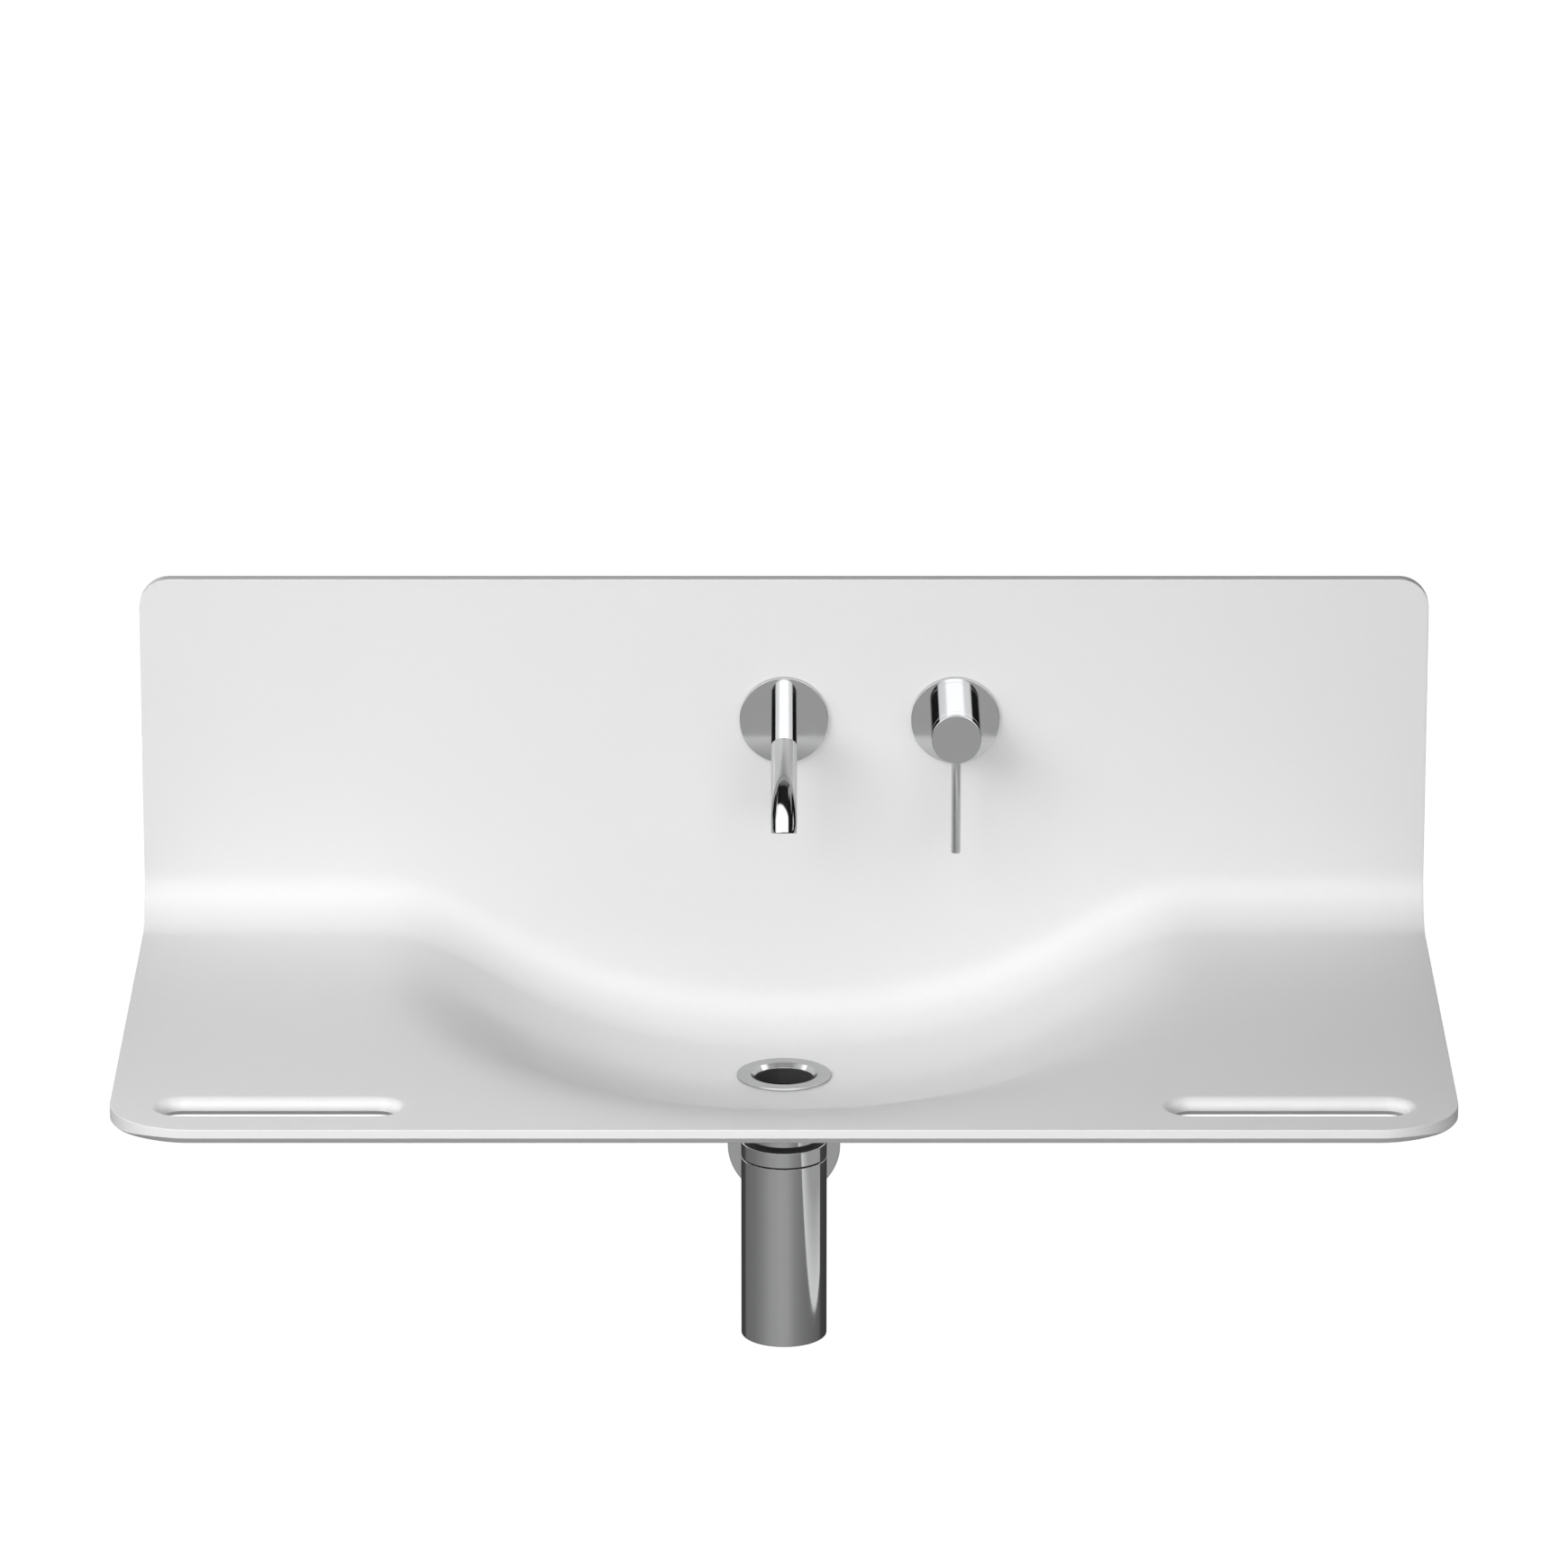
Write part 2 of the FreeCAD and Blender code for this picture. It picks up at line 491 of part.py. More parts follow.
# black lining of the flange, above the strainer
save("waste_lining", ring_z(WASTE_BORE_R - 0.05, WASTE_BORE_R - 0.45, -96.4, -84.4, 0, wy))
save("waste_flange_seal", ring_z(FLANGE_R - 0.8, 22.3, seat, flange_z, 0, wy))
scr = cyl_z(3.0, -117.5, -95.0, 0, wy).fuse(lathe_z([(0, -95.5), (5.0, -95.5), (5.0, -94.1), (3.8, -93.1), (0, -93.1)], 0, wy))
scr = scr.cut(box(-6, 6, wy - 0.7, wy + 0.7, -94.3, -91))
save("waste_screw", scr.removeSplitter())
save("waste_bottom_seal", ring_z(33.0, 22.4, -98.0, -96.0, 0, wy))
tail = lathe_z([(18.2, -123.0), (20.9, -123.0), (20.9, -102.5), (33.0, -102.5), (33.0, -98.0), (23.0, -98.0), (23.0, -101.0), (18.2, -104.5)], 0, wy)
bridge = cyl_z(5.5, -118.0, -110.0, 0, wy)
for k in range(2):
    bar = box(-18.6, 18.6, -1.6, 1.6, -117.0, -111.0)
    bar.rotate(V(0, 0, 0), V(0, 0, 1), 90 * k)
    bar.translate(V(0, wy, 0))
    bridge = bridge.fuse(bar)
tail = tail.fuse(bridge).cut(cyl_z(3.05, -130, -90, 0, wy))
save("waste_tail", tail.removeSplitter())

# ------------------------------------------------------------------ trap
neck_low = -128.3
nut = lathe_z([(16.3, neck_low), (NECK_R - 0.5, neck_low), (NECK_R, neck_low + 0.5), (NECK_R, -106.6), (NECK_R - 0.6, -106.0), (21.0, -106.0), (21.0, -126.3), (16.3, -126.3)], 0, wy)
save("trap_neck_nut", nut)
save("trap_neck_seal", ring_z(20.7, 15.5, -124.9, -123.05, 0, wy))
# black washer between the collar and the trap's top ring
save("trap_neck_washer", lathe_z([(16.3, TRAP_TOP + 0.05), (TRAP_R - 0.7, TRAP_TOP + 0.05), (TRAP_R - 0.7, TRAP_TOP + 0.4), (NECK_R - 0.4, TRAP_TOP + 1.3), (NECK_R - 0.8, neck_low - 0.05), (16.3, neck_low - 0.05)], 0, wy))
dip = ring_z(PIPE_R, 14.8, -240.0, -125.0, 0, wy).fuse(ring_z(20.7, 14.8, -126.25, -124.95, 0, wy))
save("trap_dip_tube", dip.removeSplitter())
inner_r = TRAP_R - TRAP_WALL
cap = lathe_z([(16.2, TRAP_TOP), (TRAP_R - 0.5, TRAP_TOP), (TRAP_R, TRAP_TOP - 0.5), (TRAP_R, TRAP_JOINT + 0.9), (TRAP_R - 0.25, TRAP_JOINT + 0.65), (inner_r - 0.05, TRAP_JOINT + 0.65),
               (inner_r - 0.05, TRAP_JOINT - 9.0), (20.0, TRAP_JOINT - 9.0), (20.0, TRAP_TOP - 5.0), (16.2, TRAP_TOP - 5.0)], 0, wy)
cap = cap.cut(ring_z(28.5, 25.4, TRAP_JOINT - 5.6, TRAP_JOINT - 3.4, 0, wy))
save("trap_cap_ring", cap)
save("trap_cap_oring", ring_z(26.95, 25.45, TRAP_JOINT - 5.5, TRAP_JOINT - 3.5, 0, wy))
# black gasket that shows as a line between the ring and the body
save("trap_joint_gasket", ring_z(TRAP_R - 0.5, inner_r + 0.05, TRAP_JOINT - 0.4, TRAP_JOINT + 0.6, 0, wy))
save("trap_tube_seal", ring_z(19.95, 16.03, TRAP_TOP - 10.0, TRAP_TOP - 5.05, 0, wy))

boss_y = wy + TRAP_R + 12.0
body = lathe_z([(inner_r, TRAP_BOTTOM), (TRAP_R - 1.0, TRAP_BOTTOM), (TRAP_R, TRAP_BOTTOM + 1.0), (TRAP_R, TRAP_JOINT - 0.7), (TRAP_R - 0.25, TRAP_JOINT - 0.45), (inner_r, TRAP_JOINT - 0.45)], 0, wy)
boss = cyl_y(19.0, wy + 20.0, boss_y, 0, OUTLET_Z).cut(cyl_z(inner_r, TRAP_BOTTOM, TRAP_JOINT, 0, wy))
body = body.fuse(boss).cut([cyl_y(16.1, wy + 30.5, boss_y + 1, 0, OUTLET_Z), cyl_y(14.0, wy, wy + 31, 0, OUTLET_Z)])
body = body.cut(cyl_y(18.2, boss_y - 5.0, boss_y + 1, 0, OUTLET_Z))
save("trap_body", body.removeSplitter())
save("trap_outlet_seal", ring_y(18.1, 16.05, boss_y - 4.9, boss_y, 0, OUTLET_Z))
on = lathe_y([(16.15, boss_y + 0.1), (16.15, boss_y + 3.0), (22.0, boss_y + 3.0), (23.0, boss_y + 2.0), (23.0, boss_y - 8.0), (22.4, boss_y - 8.6), (19.1, boss_y - 8.6), (19.1, boss_y + 0.1)], 0, OUTLET_Z)
save("trap_outlet_nut", on)
out_pipe = ring_y(PIPE_R, 14.8, wy + 31.0, PIPE_END, 0, OUTLET_Z)
out_pipe = out_pipe.cut(ring_y(18.0, PIPE_R - 0.4, 1.0, 2.5, 0, OUTLET_Z))
save("trap_outlet_pipe", out_pipe)
save("wall_rosette", lathe_y([(16.3, -4.6), (16.3, -6.0), (WALL_ROSETTE_R - 0.6, -6.0), (WALL_ROSETTE_R, -5.4), (WALL_ROSETTE_R, -0.05),
                              (WALL_ROSETTE_R - 1.4, -0.05), (WALL_ROSETTE_R - 1.4, -4.6)], 0, OUTLET_Z))

# screw plug in the trap's base
plug_r = inner_r - 0.05
plug = lathe_z([(0, TRAP_BOTTOM), (plug_r - 0.6, TRAP_BOTTOM), (plug_r, TRAP_BOTTOM + 0.6), (plug_r, TRAP_BOTTOM + 14.0), (plug_r - 3.0, TRAP_BOTTOM + 14.0), (plug_r - 3.0, TRAP_BOTTOM + 5.0), (0, TRAP_BOTTOM + 5.0)], 0, wy)
plug = plug.cut(box(-16, 16, wy - 1.6, wy + 1.6, TRAP_BOTTOM - 1, TRAP_BOTTOM + 2.6))
plug = plug.cut(ring_z(28.5, 25.3, TRAP_BOTTOM + 9.0, TRAP_BOTTOM + 11.2, 0, wy))
save("trap_base_plug", plug)
save("trap_plug_oring", ring_z(plug_r, 25.35, TRAP_BOTTOM + 9.1, TRAP_BOTTOM + 11.1, 0, wy))
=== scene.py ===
import json
import math

import bpy
import numpy as np
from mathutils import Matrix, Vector
from mathutils.geometry import delaunay_2d_cdt

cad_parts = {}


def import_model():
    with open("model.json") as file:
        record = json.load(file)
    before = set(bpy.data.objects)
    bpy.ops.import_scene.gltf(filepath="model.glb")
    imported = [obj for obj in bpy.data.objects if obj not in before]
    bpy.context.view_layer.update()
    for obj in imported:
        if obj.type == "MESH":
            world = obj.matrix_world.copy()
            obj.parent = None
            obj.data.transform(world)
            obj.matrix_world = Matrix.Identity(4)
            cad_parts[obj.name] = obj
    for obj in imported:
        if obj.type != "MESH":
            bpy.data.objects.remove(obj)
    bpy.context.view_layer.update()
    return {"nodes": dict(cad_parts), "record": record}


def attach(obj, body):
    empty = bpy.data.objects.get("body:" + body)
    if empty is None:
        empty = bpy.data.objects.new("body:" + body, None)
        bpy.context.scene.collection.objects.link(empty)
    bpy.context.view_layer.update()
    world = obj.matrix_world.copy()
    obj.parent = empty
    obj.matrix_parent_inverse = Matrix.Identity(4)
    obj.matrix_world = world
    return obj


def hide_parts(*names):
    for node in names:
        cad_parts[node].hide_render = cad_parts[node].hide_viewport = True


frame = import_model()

# ----------------------------------------------------------------------------
# Driving dimensions, in millimetres. x to the right, y into the wall, z up.
# The wall is y = 0, the panel's face y = -10 and the deck's top z = 0.
# ----------------------------------------------------------------------------
WIDTH = 900.0
UPSTAND = 250.0
SHEET = 10.0
REACH = 440.0            # deck, from the panel's face to the front edge
BEND_R = 36.0
TOP_CORNER_R = 21.0
FRONT_CORNER_R = 56.0
BOWL_DEPTH = 84.0
BOWL_HALF_X = 290.0
BOWL_FRONT = 329.0
BOWL_BACK = 900.0
WASTE_D = 95.0
WALL_A, WALL_P, WALL_K = 0.8597, 2.3506, 0.4717
TAP_Z = 148.0
MIXER_X = 120.0
WASTE_Y = -105.0
SLOT_X, SLOT_D, SLOT_L, SLOT_W = 337.0, 393.0, 157.0, 28.0
EDGE_TOP = 0.5           # rounding of the sheet's upper edge
EDGE_LOW, EDGE_T = 4.8, 10.8         # chamfer below the deck's edge, and the edge's height
SLOT_TOP, SLOT_LOW, SLOT_T = 7.2, 3.8, 12.1   # slots: rounding above, chamfer below, depth
MM = 0.001


# ----------------------------------------------------------------------------
# Mesh helpers
# ----------------------------------------------------------------------------
def build(name, verts, faces, normals, body, nodes, mat):
    """A smooth mesh piece with its own vertex normals, in millimetres."""
    v = np.asarray(verts, float)
    n = np.asarray(normals, float)
    length = np.linalg.norm(n, axis=1)
    length[length < 1e-12] = 1.0
    n = n / length[:, None]
    by_size = {}
    for f in faces:
        f = [i for k, i in enumerate(f) if i != f[k - 1]]
        if len(f) >= 3:
            by_size.setdefault(len(f), []).append(f)
    out = []
    for size in sorted(by_size):
        f = np.array(by_size[size])
        p = v[f]
        g = np.cross(np.roll(p, 1, 1), p).sum(1)
        keep = np.linalg.norm(g, axis=1) > 1e-9
        flip = (g * n[f].sum(1)).sum(1) < 0
        f[flip] = f[flip][:, ::-1]
        out += f[keep].tolist()
    me = bpy.data.meshes.new(name)
    me.from_pydata((v * MM).tolist(), [], out)
    me.polygons.foreach_set("use_smooth", [True] * len(me.polygons))
    me.update()
    me.normals_split_custom_set_from_vertices(n.tolist())
    ob = bpy.data.objects.new(name, me)
    bpy.context.scene.collection.objects.link(ob)
    me.materials.append(mat)
    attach(ob, body)
    if nodes:
        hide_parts(*nodes)
    return ob


class Mesh:
    """Collects vertices, normals and faces of one piece."""

    def __init__(self):
        self.v, self.n, self.f = [], [], []

    def ring(self, points, normals):
        start = len(self.v)
        self.v += [tuple(p) for p in points]
        self.n += [tuple(p) for p in normals]
        return list(range(start, start + len(points)))

    def bridge(self, a, b, closed=True):
        m = len(a)
        for i in range(m if closed else m - 1):
            j = (i + 1) % m
            self.f.append([a[i], a[j], b[j], b[i]])

    def make(self, name, body, nodes, mat):
        return build(name, self.v, self.f, self.n, body, nodes, mat)


def rounded(points, steps=5, closed=True):
    """points are (r, a, fillet) round a profile; gives (r, a, nr, na) with each corner rounded."""
    p = [np.array(q[:2], float) for q in points]
    rad = [q[2] if len(q) > 2 else 0.0 for q in points]
    m = len(p)
    area = sum(p[i - 1][0] * p[i][1] - p[i][0] * p[i - 1][1] for i in range(m))
    side = 1.0 if area > 0 else -1.0

    def out(t):
        return np.array([t[1], -t[0]]) * side

    res = []
    for i in range(m):
        a, b, c = p[i - 1], p[i], p[(i + 1) % m]
        t0 = (b - a) / (np.linalg.norm(b - a) + 1e-12)
        t1 = (c - b) / (np.linalg.norm(c - b) + 1e-12)
        n0, n1 = out(t0), out(t1)
        turn = math.acos(max(-1.0, min(1.0, float(t0 @ t1))))
        if not closed and i == 0:
            res.append((b, n1))
            continue
        if not closed and i == m - 1:
            res.append((b, n0))
            continue
        cut = rad[i] * math.tan(turn / 2)
        cut = min(cut, 0.49 * np.linalg.norm(b - a), 0.49 * np.linalg.norm(c - b))
        if cut < 1e-6 or turn < 1e-3:
            res.append((b, n0))
            res.append((b, n1))
            continue
        for k in range(steps + 1):
            s = k / steps
            ang = turn * s
            # normals turn evenly from n0 to n1
            w0 = math.sin(turn - ang) / math.sin(turn) if turn < 3.1 else 1 - s
            w1 = math.sin(ang) / math.sin(turn) if turn < 3.1 else s
            nn = w0 * n0 + w1 * n1
            r = cut / math.tan(turn / 2)
            convex = float(n0 @ t1) < 0
            centre = (b - t0 * cut) + (-n0 if convex else n0) * r
            q = centre + (nn if convex else -nn) * r
            res.append((q, nn))
    return [(float(q[0]), float(q[1]), float(n[0]), float(n[1])) for q, n in res]


def lathe_into(mesh, prof, axis, cx, cy, seg=112, closed=True):
    """Turns a profile of (r, a, nr, na) about an axis along Z at (cx, cy), or along Y at (cx, z = cy)."""
    rings = []
    for r, a, nr, na in prof:
        pts, nrm = [], []
        for k in range(seg):
            t = 2 * math.pi * k / seg
            c, s = math.cos(t), math.sin(t)
            r1 = max(r, 0.0)
            if axis == "Z":
                pts.append((cx + r1 * c, cy + r1 * s, a))
                nrm.append((nr * c, nr * s, na))
            else:
                pts.append((cx + r1 * c, a, cy + r1 * s))
                nrm.append((nr * c, na, nr * s))
        if r < 1e-6:
            start = len(mesh.v)
            mesh.v.append(pts[0])
            mesh.n.append((0, 0, na) if axis == "Z" else (0, na, 0))
            rings.append([start] * seg)
        else:
            rings.append(mesh.ring(pts, nrm))
    m = len(rings)
    for i in range(m if closed else m - 1):
        mesh.bridge(rings[i], rings[(i + 1) % m])


def lathe(name, points, axis, cx, cy, body, nodes, mat, seg=112, steps=5, closed=True):
    mesh = Mesh()
    lathe_into(mesh, rounded(points, steps, closed), axis, cx, cy, seg, closed)
    return mesh.make(name, body, nodes, mat)


# ----------------------------------------------------------------------------
# Materials
# ----------------------------------------------------------------------------
def material(name):
    mat = bpy.data.materials.new(name)
    mat.use_nodes = True
    nt = mat.node_tree
    nt.nodes.clear()
    out = nt.nodes.new("ShaderNodeOutputMaterial")
    bsdf = nt.nodes.new("ShaderNodeBsdfPrincipled")
    nt.links.new(bsdf.outputs["BSDF"], out.inputs["Surface"])
    coord = nt.nodes.new("ShaderNodeTexCoord")
    return mat, nt, bsdf, coord


def noise(nt, coord, scale, detail=3.0, rough=0.5, stretch=None):
    n = nt.nodes.new("ShaderNodeTexNoise")
    n.inputs["Scale"].default_value = scale
    n.inputs["Detail"].default_value = detail
    n.inputs["Roughness"].default_value = rough
    if stretch:
        m = nt.nodes.new("ShaderNodeMapping")
        m.inputs["Scale"].default_value = stretch
        nt.links.new(coord.outputs["Object"], m.inputs["Vector"])
        nt.links.new(m.outputs["Vector"], n.inputs["Vector"])
    else:
        nt.links.new(coord.outputs["Object"], n.inputs["Vector"])
    return n


def ramp(nt, socket, stops):
    r = nt.nodes.new("ShaderNodeValToRGB")
    e = r.color_ramp.elements
    e.remove(e[1])
    for k, (pos, col) in enumerate(stops):
        if k == 0:
            stop = e[0]
            stop.position = pos
        else:
            stop = e.new(pos)
        stop.color = (col, col, col, 1.0) if isinstance(col, float) else (*col, 1.0)
    nt.links.new(socket, r.inputs["Fac"])
    return r


def spread(nt, socket, low, high):
    m = nt.nodes.new("ShaderNodeMapRange")
    m.inputs["From Min"].default_value = 0.3
    m.inputs["From Max"].default_value = 0.7
    m.inputs["To Min"].default_value = low
    m.inputs["To Max"].default_value = high
    nt.links.new(socket, m.inputs["Value"])
    return m


def bump(nt, bsdf, socket, strength, distance):
    b = nt.nodes.new("ShaderNodeBump")
    b.inputs["Strength"].default_value = strength
    b.inputs["Distance"].default_value = distance
    nt.links.new(socket, b.inputs["Height"])
    nt.links.new(b.outputs["Normal"], bsdf.inputs["Normal"])
    return b


def solid_surface():
    mat, nt, bsdf, coord = material("solid_surface")
    fine = noise(nt, coord, 900.0, 2.0, 0.6)
    col = ramp(nt, fine.outputs["Fac"], [(0.25, 0.783), (0.5, 0.800), (0.75, 0.811)])
    nt.links.new(col.outputs["Color"], bsdf.inputs["Base Color"])
    cloud = noise(nt, coord, 14.0, 4.0, 0.6)
    ro = spread(nt, cloud.outputs["Fac"], 0.42, 0.52)
    nt.links.new(ro.outputs["Result"], bsdf.inputs["Roughness"])
    bsdf.inputs["IOR"].default_value = 1.48
    bump(nt, bsdf, fine.outputs["Fac"], 0.03, 0.0002)
    return mat


def chrome(name="chrome", base=0.65):
    mat, nt, bsdf, coord = material(name)
    bsdf.inputs["Metallic"].default_value = 1.0
    bsdf.inputs["Specular Tint"].default_value = (0.72, 0.72, 0.72, 1.0)
    film = noise(nt, coord, 55.0, 4.0, 0.6)
    col = ramp(nt, film.outputs["Fac"], [(0.3, (base - 0.011, base - 0.007, base - 0.001)), (0.7, (base + 0.011, base + 0.014, base + 0.019))])
    nt.links.new(col.outputs["Color"], bsdf.inputs["Base Color"])
    ro = spread(nt, film.outputs["Fac"], 0.035, 0.060)
    nt.links.new(ro.outputs["Result"], bsdf.inputs["Roughness"])
    return mat


def brushed(name, low, high, rough, stretch):
    mat, nt, bsdf, coord = material(name)
    bsdf.inputs["Metallic"].default_value = 1.0
    grain = noise(nt, coord, 60.0, 5.0, 0.7, stretch)
    col = ramp(nt, grain.outputs["Fac"], [(0.25, low), (0.75, high)])
    nt.links.new(col.outputs["Color"], bsdf.inputs["Base Color"])
    ro = spread(nt, grain.outputs["Fac"], rough[0], rough[1])
    nt.links.new(ro.outputs["Result"], bsdf.inputs["Roughness"])
    bump(nt, bsdf, grain.outputs["Fac"], 0.15, 0.0001)
    return mat


def matte(name, low, high, rough, scale, strength):
    mat, nt, bsdf, coord = material(name)
    grain = noise(nt, coord, scale, 3.0, 0.6)
    col = ramp(nt, grain.outputs["Fac"], [(0.3, low), (0.7, high)])
    nt.links.new(col.outputs["Color"], bsdf.inputs["Base Color"])
    ro = spread(nt, grain.outputs["Fac"], rough[0], rough[1])
    nt.links.new(ro.outputs["Result"], bsdf.inputs["Roughness"])
    bump(nt, bsdf, grain.outputs["Fac"], strength, 0.0002)
    return mat


MATS = {
    "solid_surface": solid_surface(),
    "chrome": chrome(),
    "stainless_steel": brushed("stainless_steel", (0.47, 0.47, 0.48), (0.62, 0.62, 0.63), (0.24, 0.38), (1.0, 40.0, 40.0)),
    "brass": brushed("brass", (0.60, 0.43, 0.18), (0.76, 0.57, 0.28), (0.25, 0.45), (6.0, 6.0, 6.0)),
    "copper": brushed("copper", (0.62, 0.32, 0.20), (0.78, 0.44, 0.30), (0.22, 0.40), (2.0, 14.0, 14.0)),
    "rubber": matte("rubber", (0.022, 0.022, 0.023), (0.040, 0.040, 0.041), (0.62, 0.80), 420.0, 0.12),
    "plastic": matte("plastic", (0.50, 0.51, 0.53), (0.56, 0.57, 0.59), (0.38, 0.50), 300.0, 0.06),
    "ceramic": matte("ceramic", (0.84, 0.83, 0.80), (0.90, 0.89, 0.86), (0.10, 0.18), 250.0, 0.02),
}
CHROME = MATS["chrome"]
# copies of the same chrome with painted shade (waste, lever) and painted light (spout) in their base colour, so their
# reflections read darker or brighter
CHROME_WASTE_PAINTED_DARK = chrome("chrome_waste_painted_dark", 0.53)
CHROME_PIN_PAINTED_DARK = chrome("chrome_pin_painted_dark", 0.58)
CHROME_SPOUT_PAINTED_BRIGHT = chrome("chrome_spout_painted_bright", 0.71)
for item in frame["record"]["subparts"]:
    node = frame["nodes"][item["node"]]
    node.data.materials.clear()
    node.data.materials.append(MATS[item["material_slot"]])


# ----------------------------------------------------------------------------
# The moulded sheet: splash panel, bend, deck and bowl
# ----------------------------------------------------------------------------
U_STRAIGHT = 130.0
U_BEND = 214.0
U_DECK = U_BEND + BEND_R * math.pi / 2
U_END = U_DECK + REACH - BEND_R


def wall_profile(rho):
    p = 1.0 - (rho / WALL_A) ** WALL_P
    t = np.clip((p + WALL_K) / (2 * WALL_K), 0.0, 1.0)
    return np.where(p >= WALL_K, p, 2 * WALL_K * (t ** 3 - t ** 4 / 2))


def floor_z(x, d):
    e = d - WASTE_D
    rho = np.sqrt((x / BOWL_HALF_X) ** 2 + (e / np.where(e > 0, BOWL_FRONT, BOWL_BACK)) ** 2)
    return -BOWL_DEPTH * wall_profile(np.maximum(rho, 1e-9))


def skin(x, u):
    """Visible surface of the sheet at (x, u): u runs down the panel, round the bend and out over the deck."""
    x = np.asarray(x, float)
    u = np.asarray(u, float)
    tangent_z = BEND_R + floor_z(x, np.zeros_like(x))
    k = np.clip((u - U_STRAIGHT) / (U_BEND - U_STRAIGHT), 0, 1)
    z_panel = np.where(u <= U_STRAIGHT, UPSTAND - u, (UPSTAND - U_STRAIGHT) * (1 - k) + tangent_z * k)
    a = np.clip((u - U_BEND) / BEND_R, 0, math.pi / 2)
    d_bend = BEND_R * (1 - np.cos(a))
    z_bend = floor_z(x, d_bend) + BEND_R * (1 - np.sin(a))
    d_deck = BEND_R + np.maximum(u - U_DECK, 0)
    z_deck = floor_z(x, d_deck)
    d = np.where(u <= U_BEND, 0.0, np.where(u <= U_DECK, d_bend, d_deck))
    z = np.where(u <= U_BEND, z_panel, np.where(u <= U_DECK, z_bend, z_deck))
    return np.stack([x, -(SHEET + d), z], -1)


def skin_frame(x, u):
    """Point, tangents along x and u, and the normal on the visible side."""
    h = 0.02
    px = (skin(x + h, u) - skin(x - h, u)) / (2 * h)
    pu = (skin(x, u + h) - skin(x, u - h)) / (2 * h)
    n = np.cross(pu, px)
    n /= np.linalg.norm(n, axis=-1, keepdims=True)
    px /= np.linalg.norm(px, axis=-1, keepdims=True)
    pu /= np.linalg.norm(pu, axis=-1, keepdims=True)
    return skin(x, u), px, pu, n


def arc_points(cx, cu, r, a0, a1, count):
    return [(cx + r * math.cos(a0 + (a1 - a0) * k / count), cu + r * math.sin(a0 + (a1 - a0) * k / count),
             math.cos(a0 + (a1 - a0) * k / count), math.sin(a0 + (a1 - a0) * k / count)) for k in range(count + 1)]


def outline():
    """(x, u, outward x, outward u) round the sheet's edge."""
    hx = WIDTH / 2
    res = []

    def line(p, q, o):
        m = max(2, int(round(math.dist(p, q) / 3.6)))
        for k in range(1, m):
            res.append((p[0] + (q[0] - p[0]) * k / m, p[1] + (q[1] - p[1]) * k / m, *o))

    rt, rf = TOP_CORNER_R, FRONT_CORNER_R
    res += arc_points(-hx + rt, rt, rt, math.pi, 1.5 * math.pi, 14)
    line((-hx + rt, 0), (hx - rt, 0), (0, -1))
    res += arc_points(hx - rt, rt, rt, 1.5 * math.pi, 2 * math.pi, 14)
    line((hx, rt), (hx, U_END - rf), (1, 0))
    res += arc_points(hx - rf, U_END - rf, rf, 0, 0.5 * math.pi, 26)
    line((hx - rf, U_END), (-hx + rf, U_END), (0, 1))
    res += arc_points(-hx + rf, U_END - rf, rf, 0.5 * math.pi, math.pi, 26)
    line((-hx, U_END - rf), (-hx, rt), (-1, 0))
    return res


def stadium(cx):
    """A towel slot's edge. Outward is out of the material, into the slot."""
    u = U_DECK + SLOT_D - BEND_R
    r = SLOT_W / 2
    half = SLOT_L / 2 - r
    res = []
    for k in range(33):
        a = -math.pi / 2 + math.pi * k / 32
        res.append((cx + half + r * math.cos(a), u + r * math.sin(a), -math.cos(a), -math.sin(a)))
    for k in range(1, 34):
        res.append((cx + half - 2 * half * k / 34, u + r, 0, -1))
    for k in range(33):
        a = math.pi / 2 + math.pi * k / 32
        res.append((cx - half + r * math.cos(a), u + r * math.sin(a), -math.cos(a), -math.sin(a)))
    for k in range(1, 34):
        res.append((cx - half + 2 * half * k / 34, u - r, 0, 1))
    return res


def circle(cx, cu, r, count):
    return [(cx + r * math.cos(2 * math.pi * k / count), cu + r * math.sin(2 * math.pi * k / count),
             -math.cos(2 * math.pi * k / count), -math.sin(2 * math.pi * k / count)) for k in range(count)]


def signed_outline(x, u):
    """Distance inside the sheet's outline, positive inside."""
    hx = WIDTH / 2
    top = u < U_END / 2
    r = np.where(top, TOP_CORNER_R, FRONT_CORNER_R)
    qx = np.abs(x) - (hx - r)
    qu = np.abs(u - U_END / 2) - (U_END / 2 - r)
    return -(np.hypot(np.maximum(qx, 0), np.maximum(qu, 0)) + np.minimum(np.maximum(qx, qu), 0) - r)


def signed_slot(x, u, cx):
    su = U_DECK + SLOT_D - BEND_R
    half = SLOT_L / 2 - SLOT_W / 2
    return np.hypot(np.maximum(np.abs(x - cx) - half, 0), u - su) - SLOT_W / 2


def facing(x, u):
    """How far the nearest bit of the outline faces the front: 0 on the sides, 1 along the front."""
    qx = np.maximum(np.abs(x) - (WIDTH / 2 - FRONT_CORNER_R), 0.0)
    qu = np.maximum(u - (U_END - FRONT_CORNER_R), 0.0)
    t = np.clip((qu / np.maximum(np.hypot(qx, qu), 1e-9) - 0.55) / 0.45, 0.0, 1.0)
    return t * t * (3 - 2 * t)


RIM_TURN = 0.17
FLOOR_TURN = 0.22


def edge_low(x, u):
    """Width of the chamfer under the sheet's outline, which dies out round the front corners."""
    return 1.0 + (EDGE_LOW - 1.0) * facing(x, u)


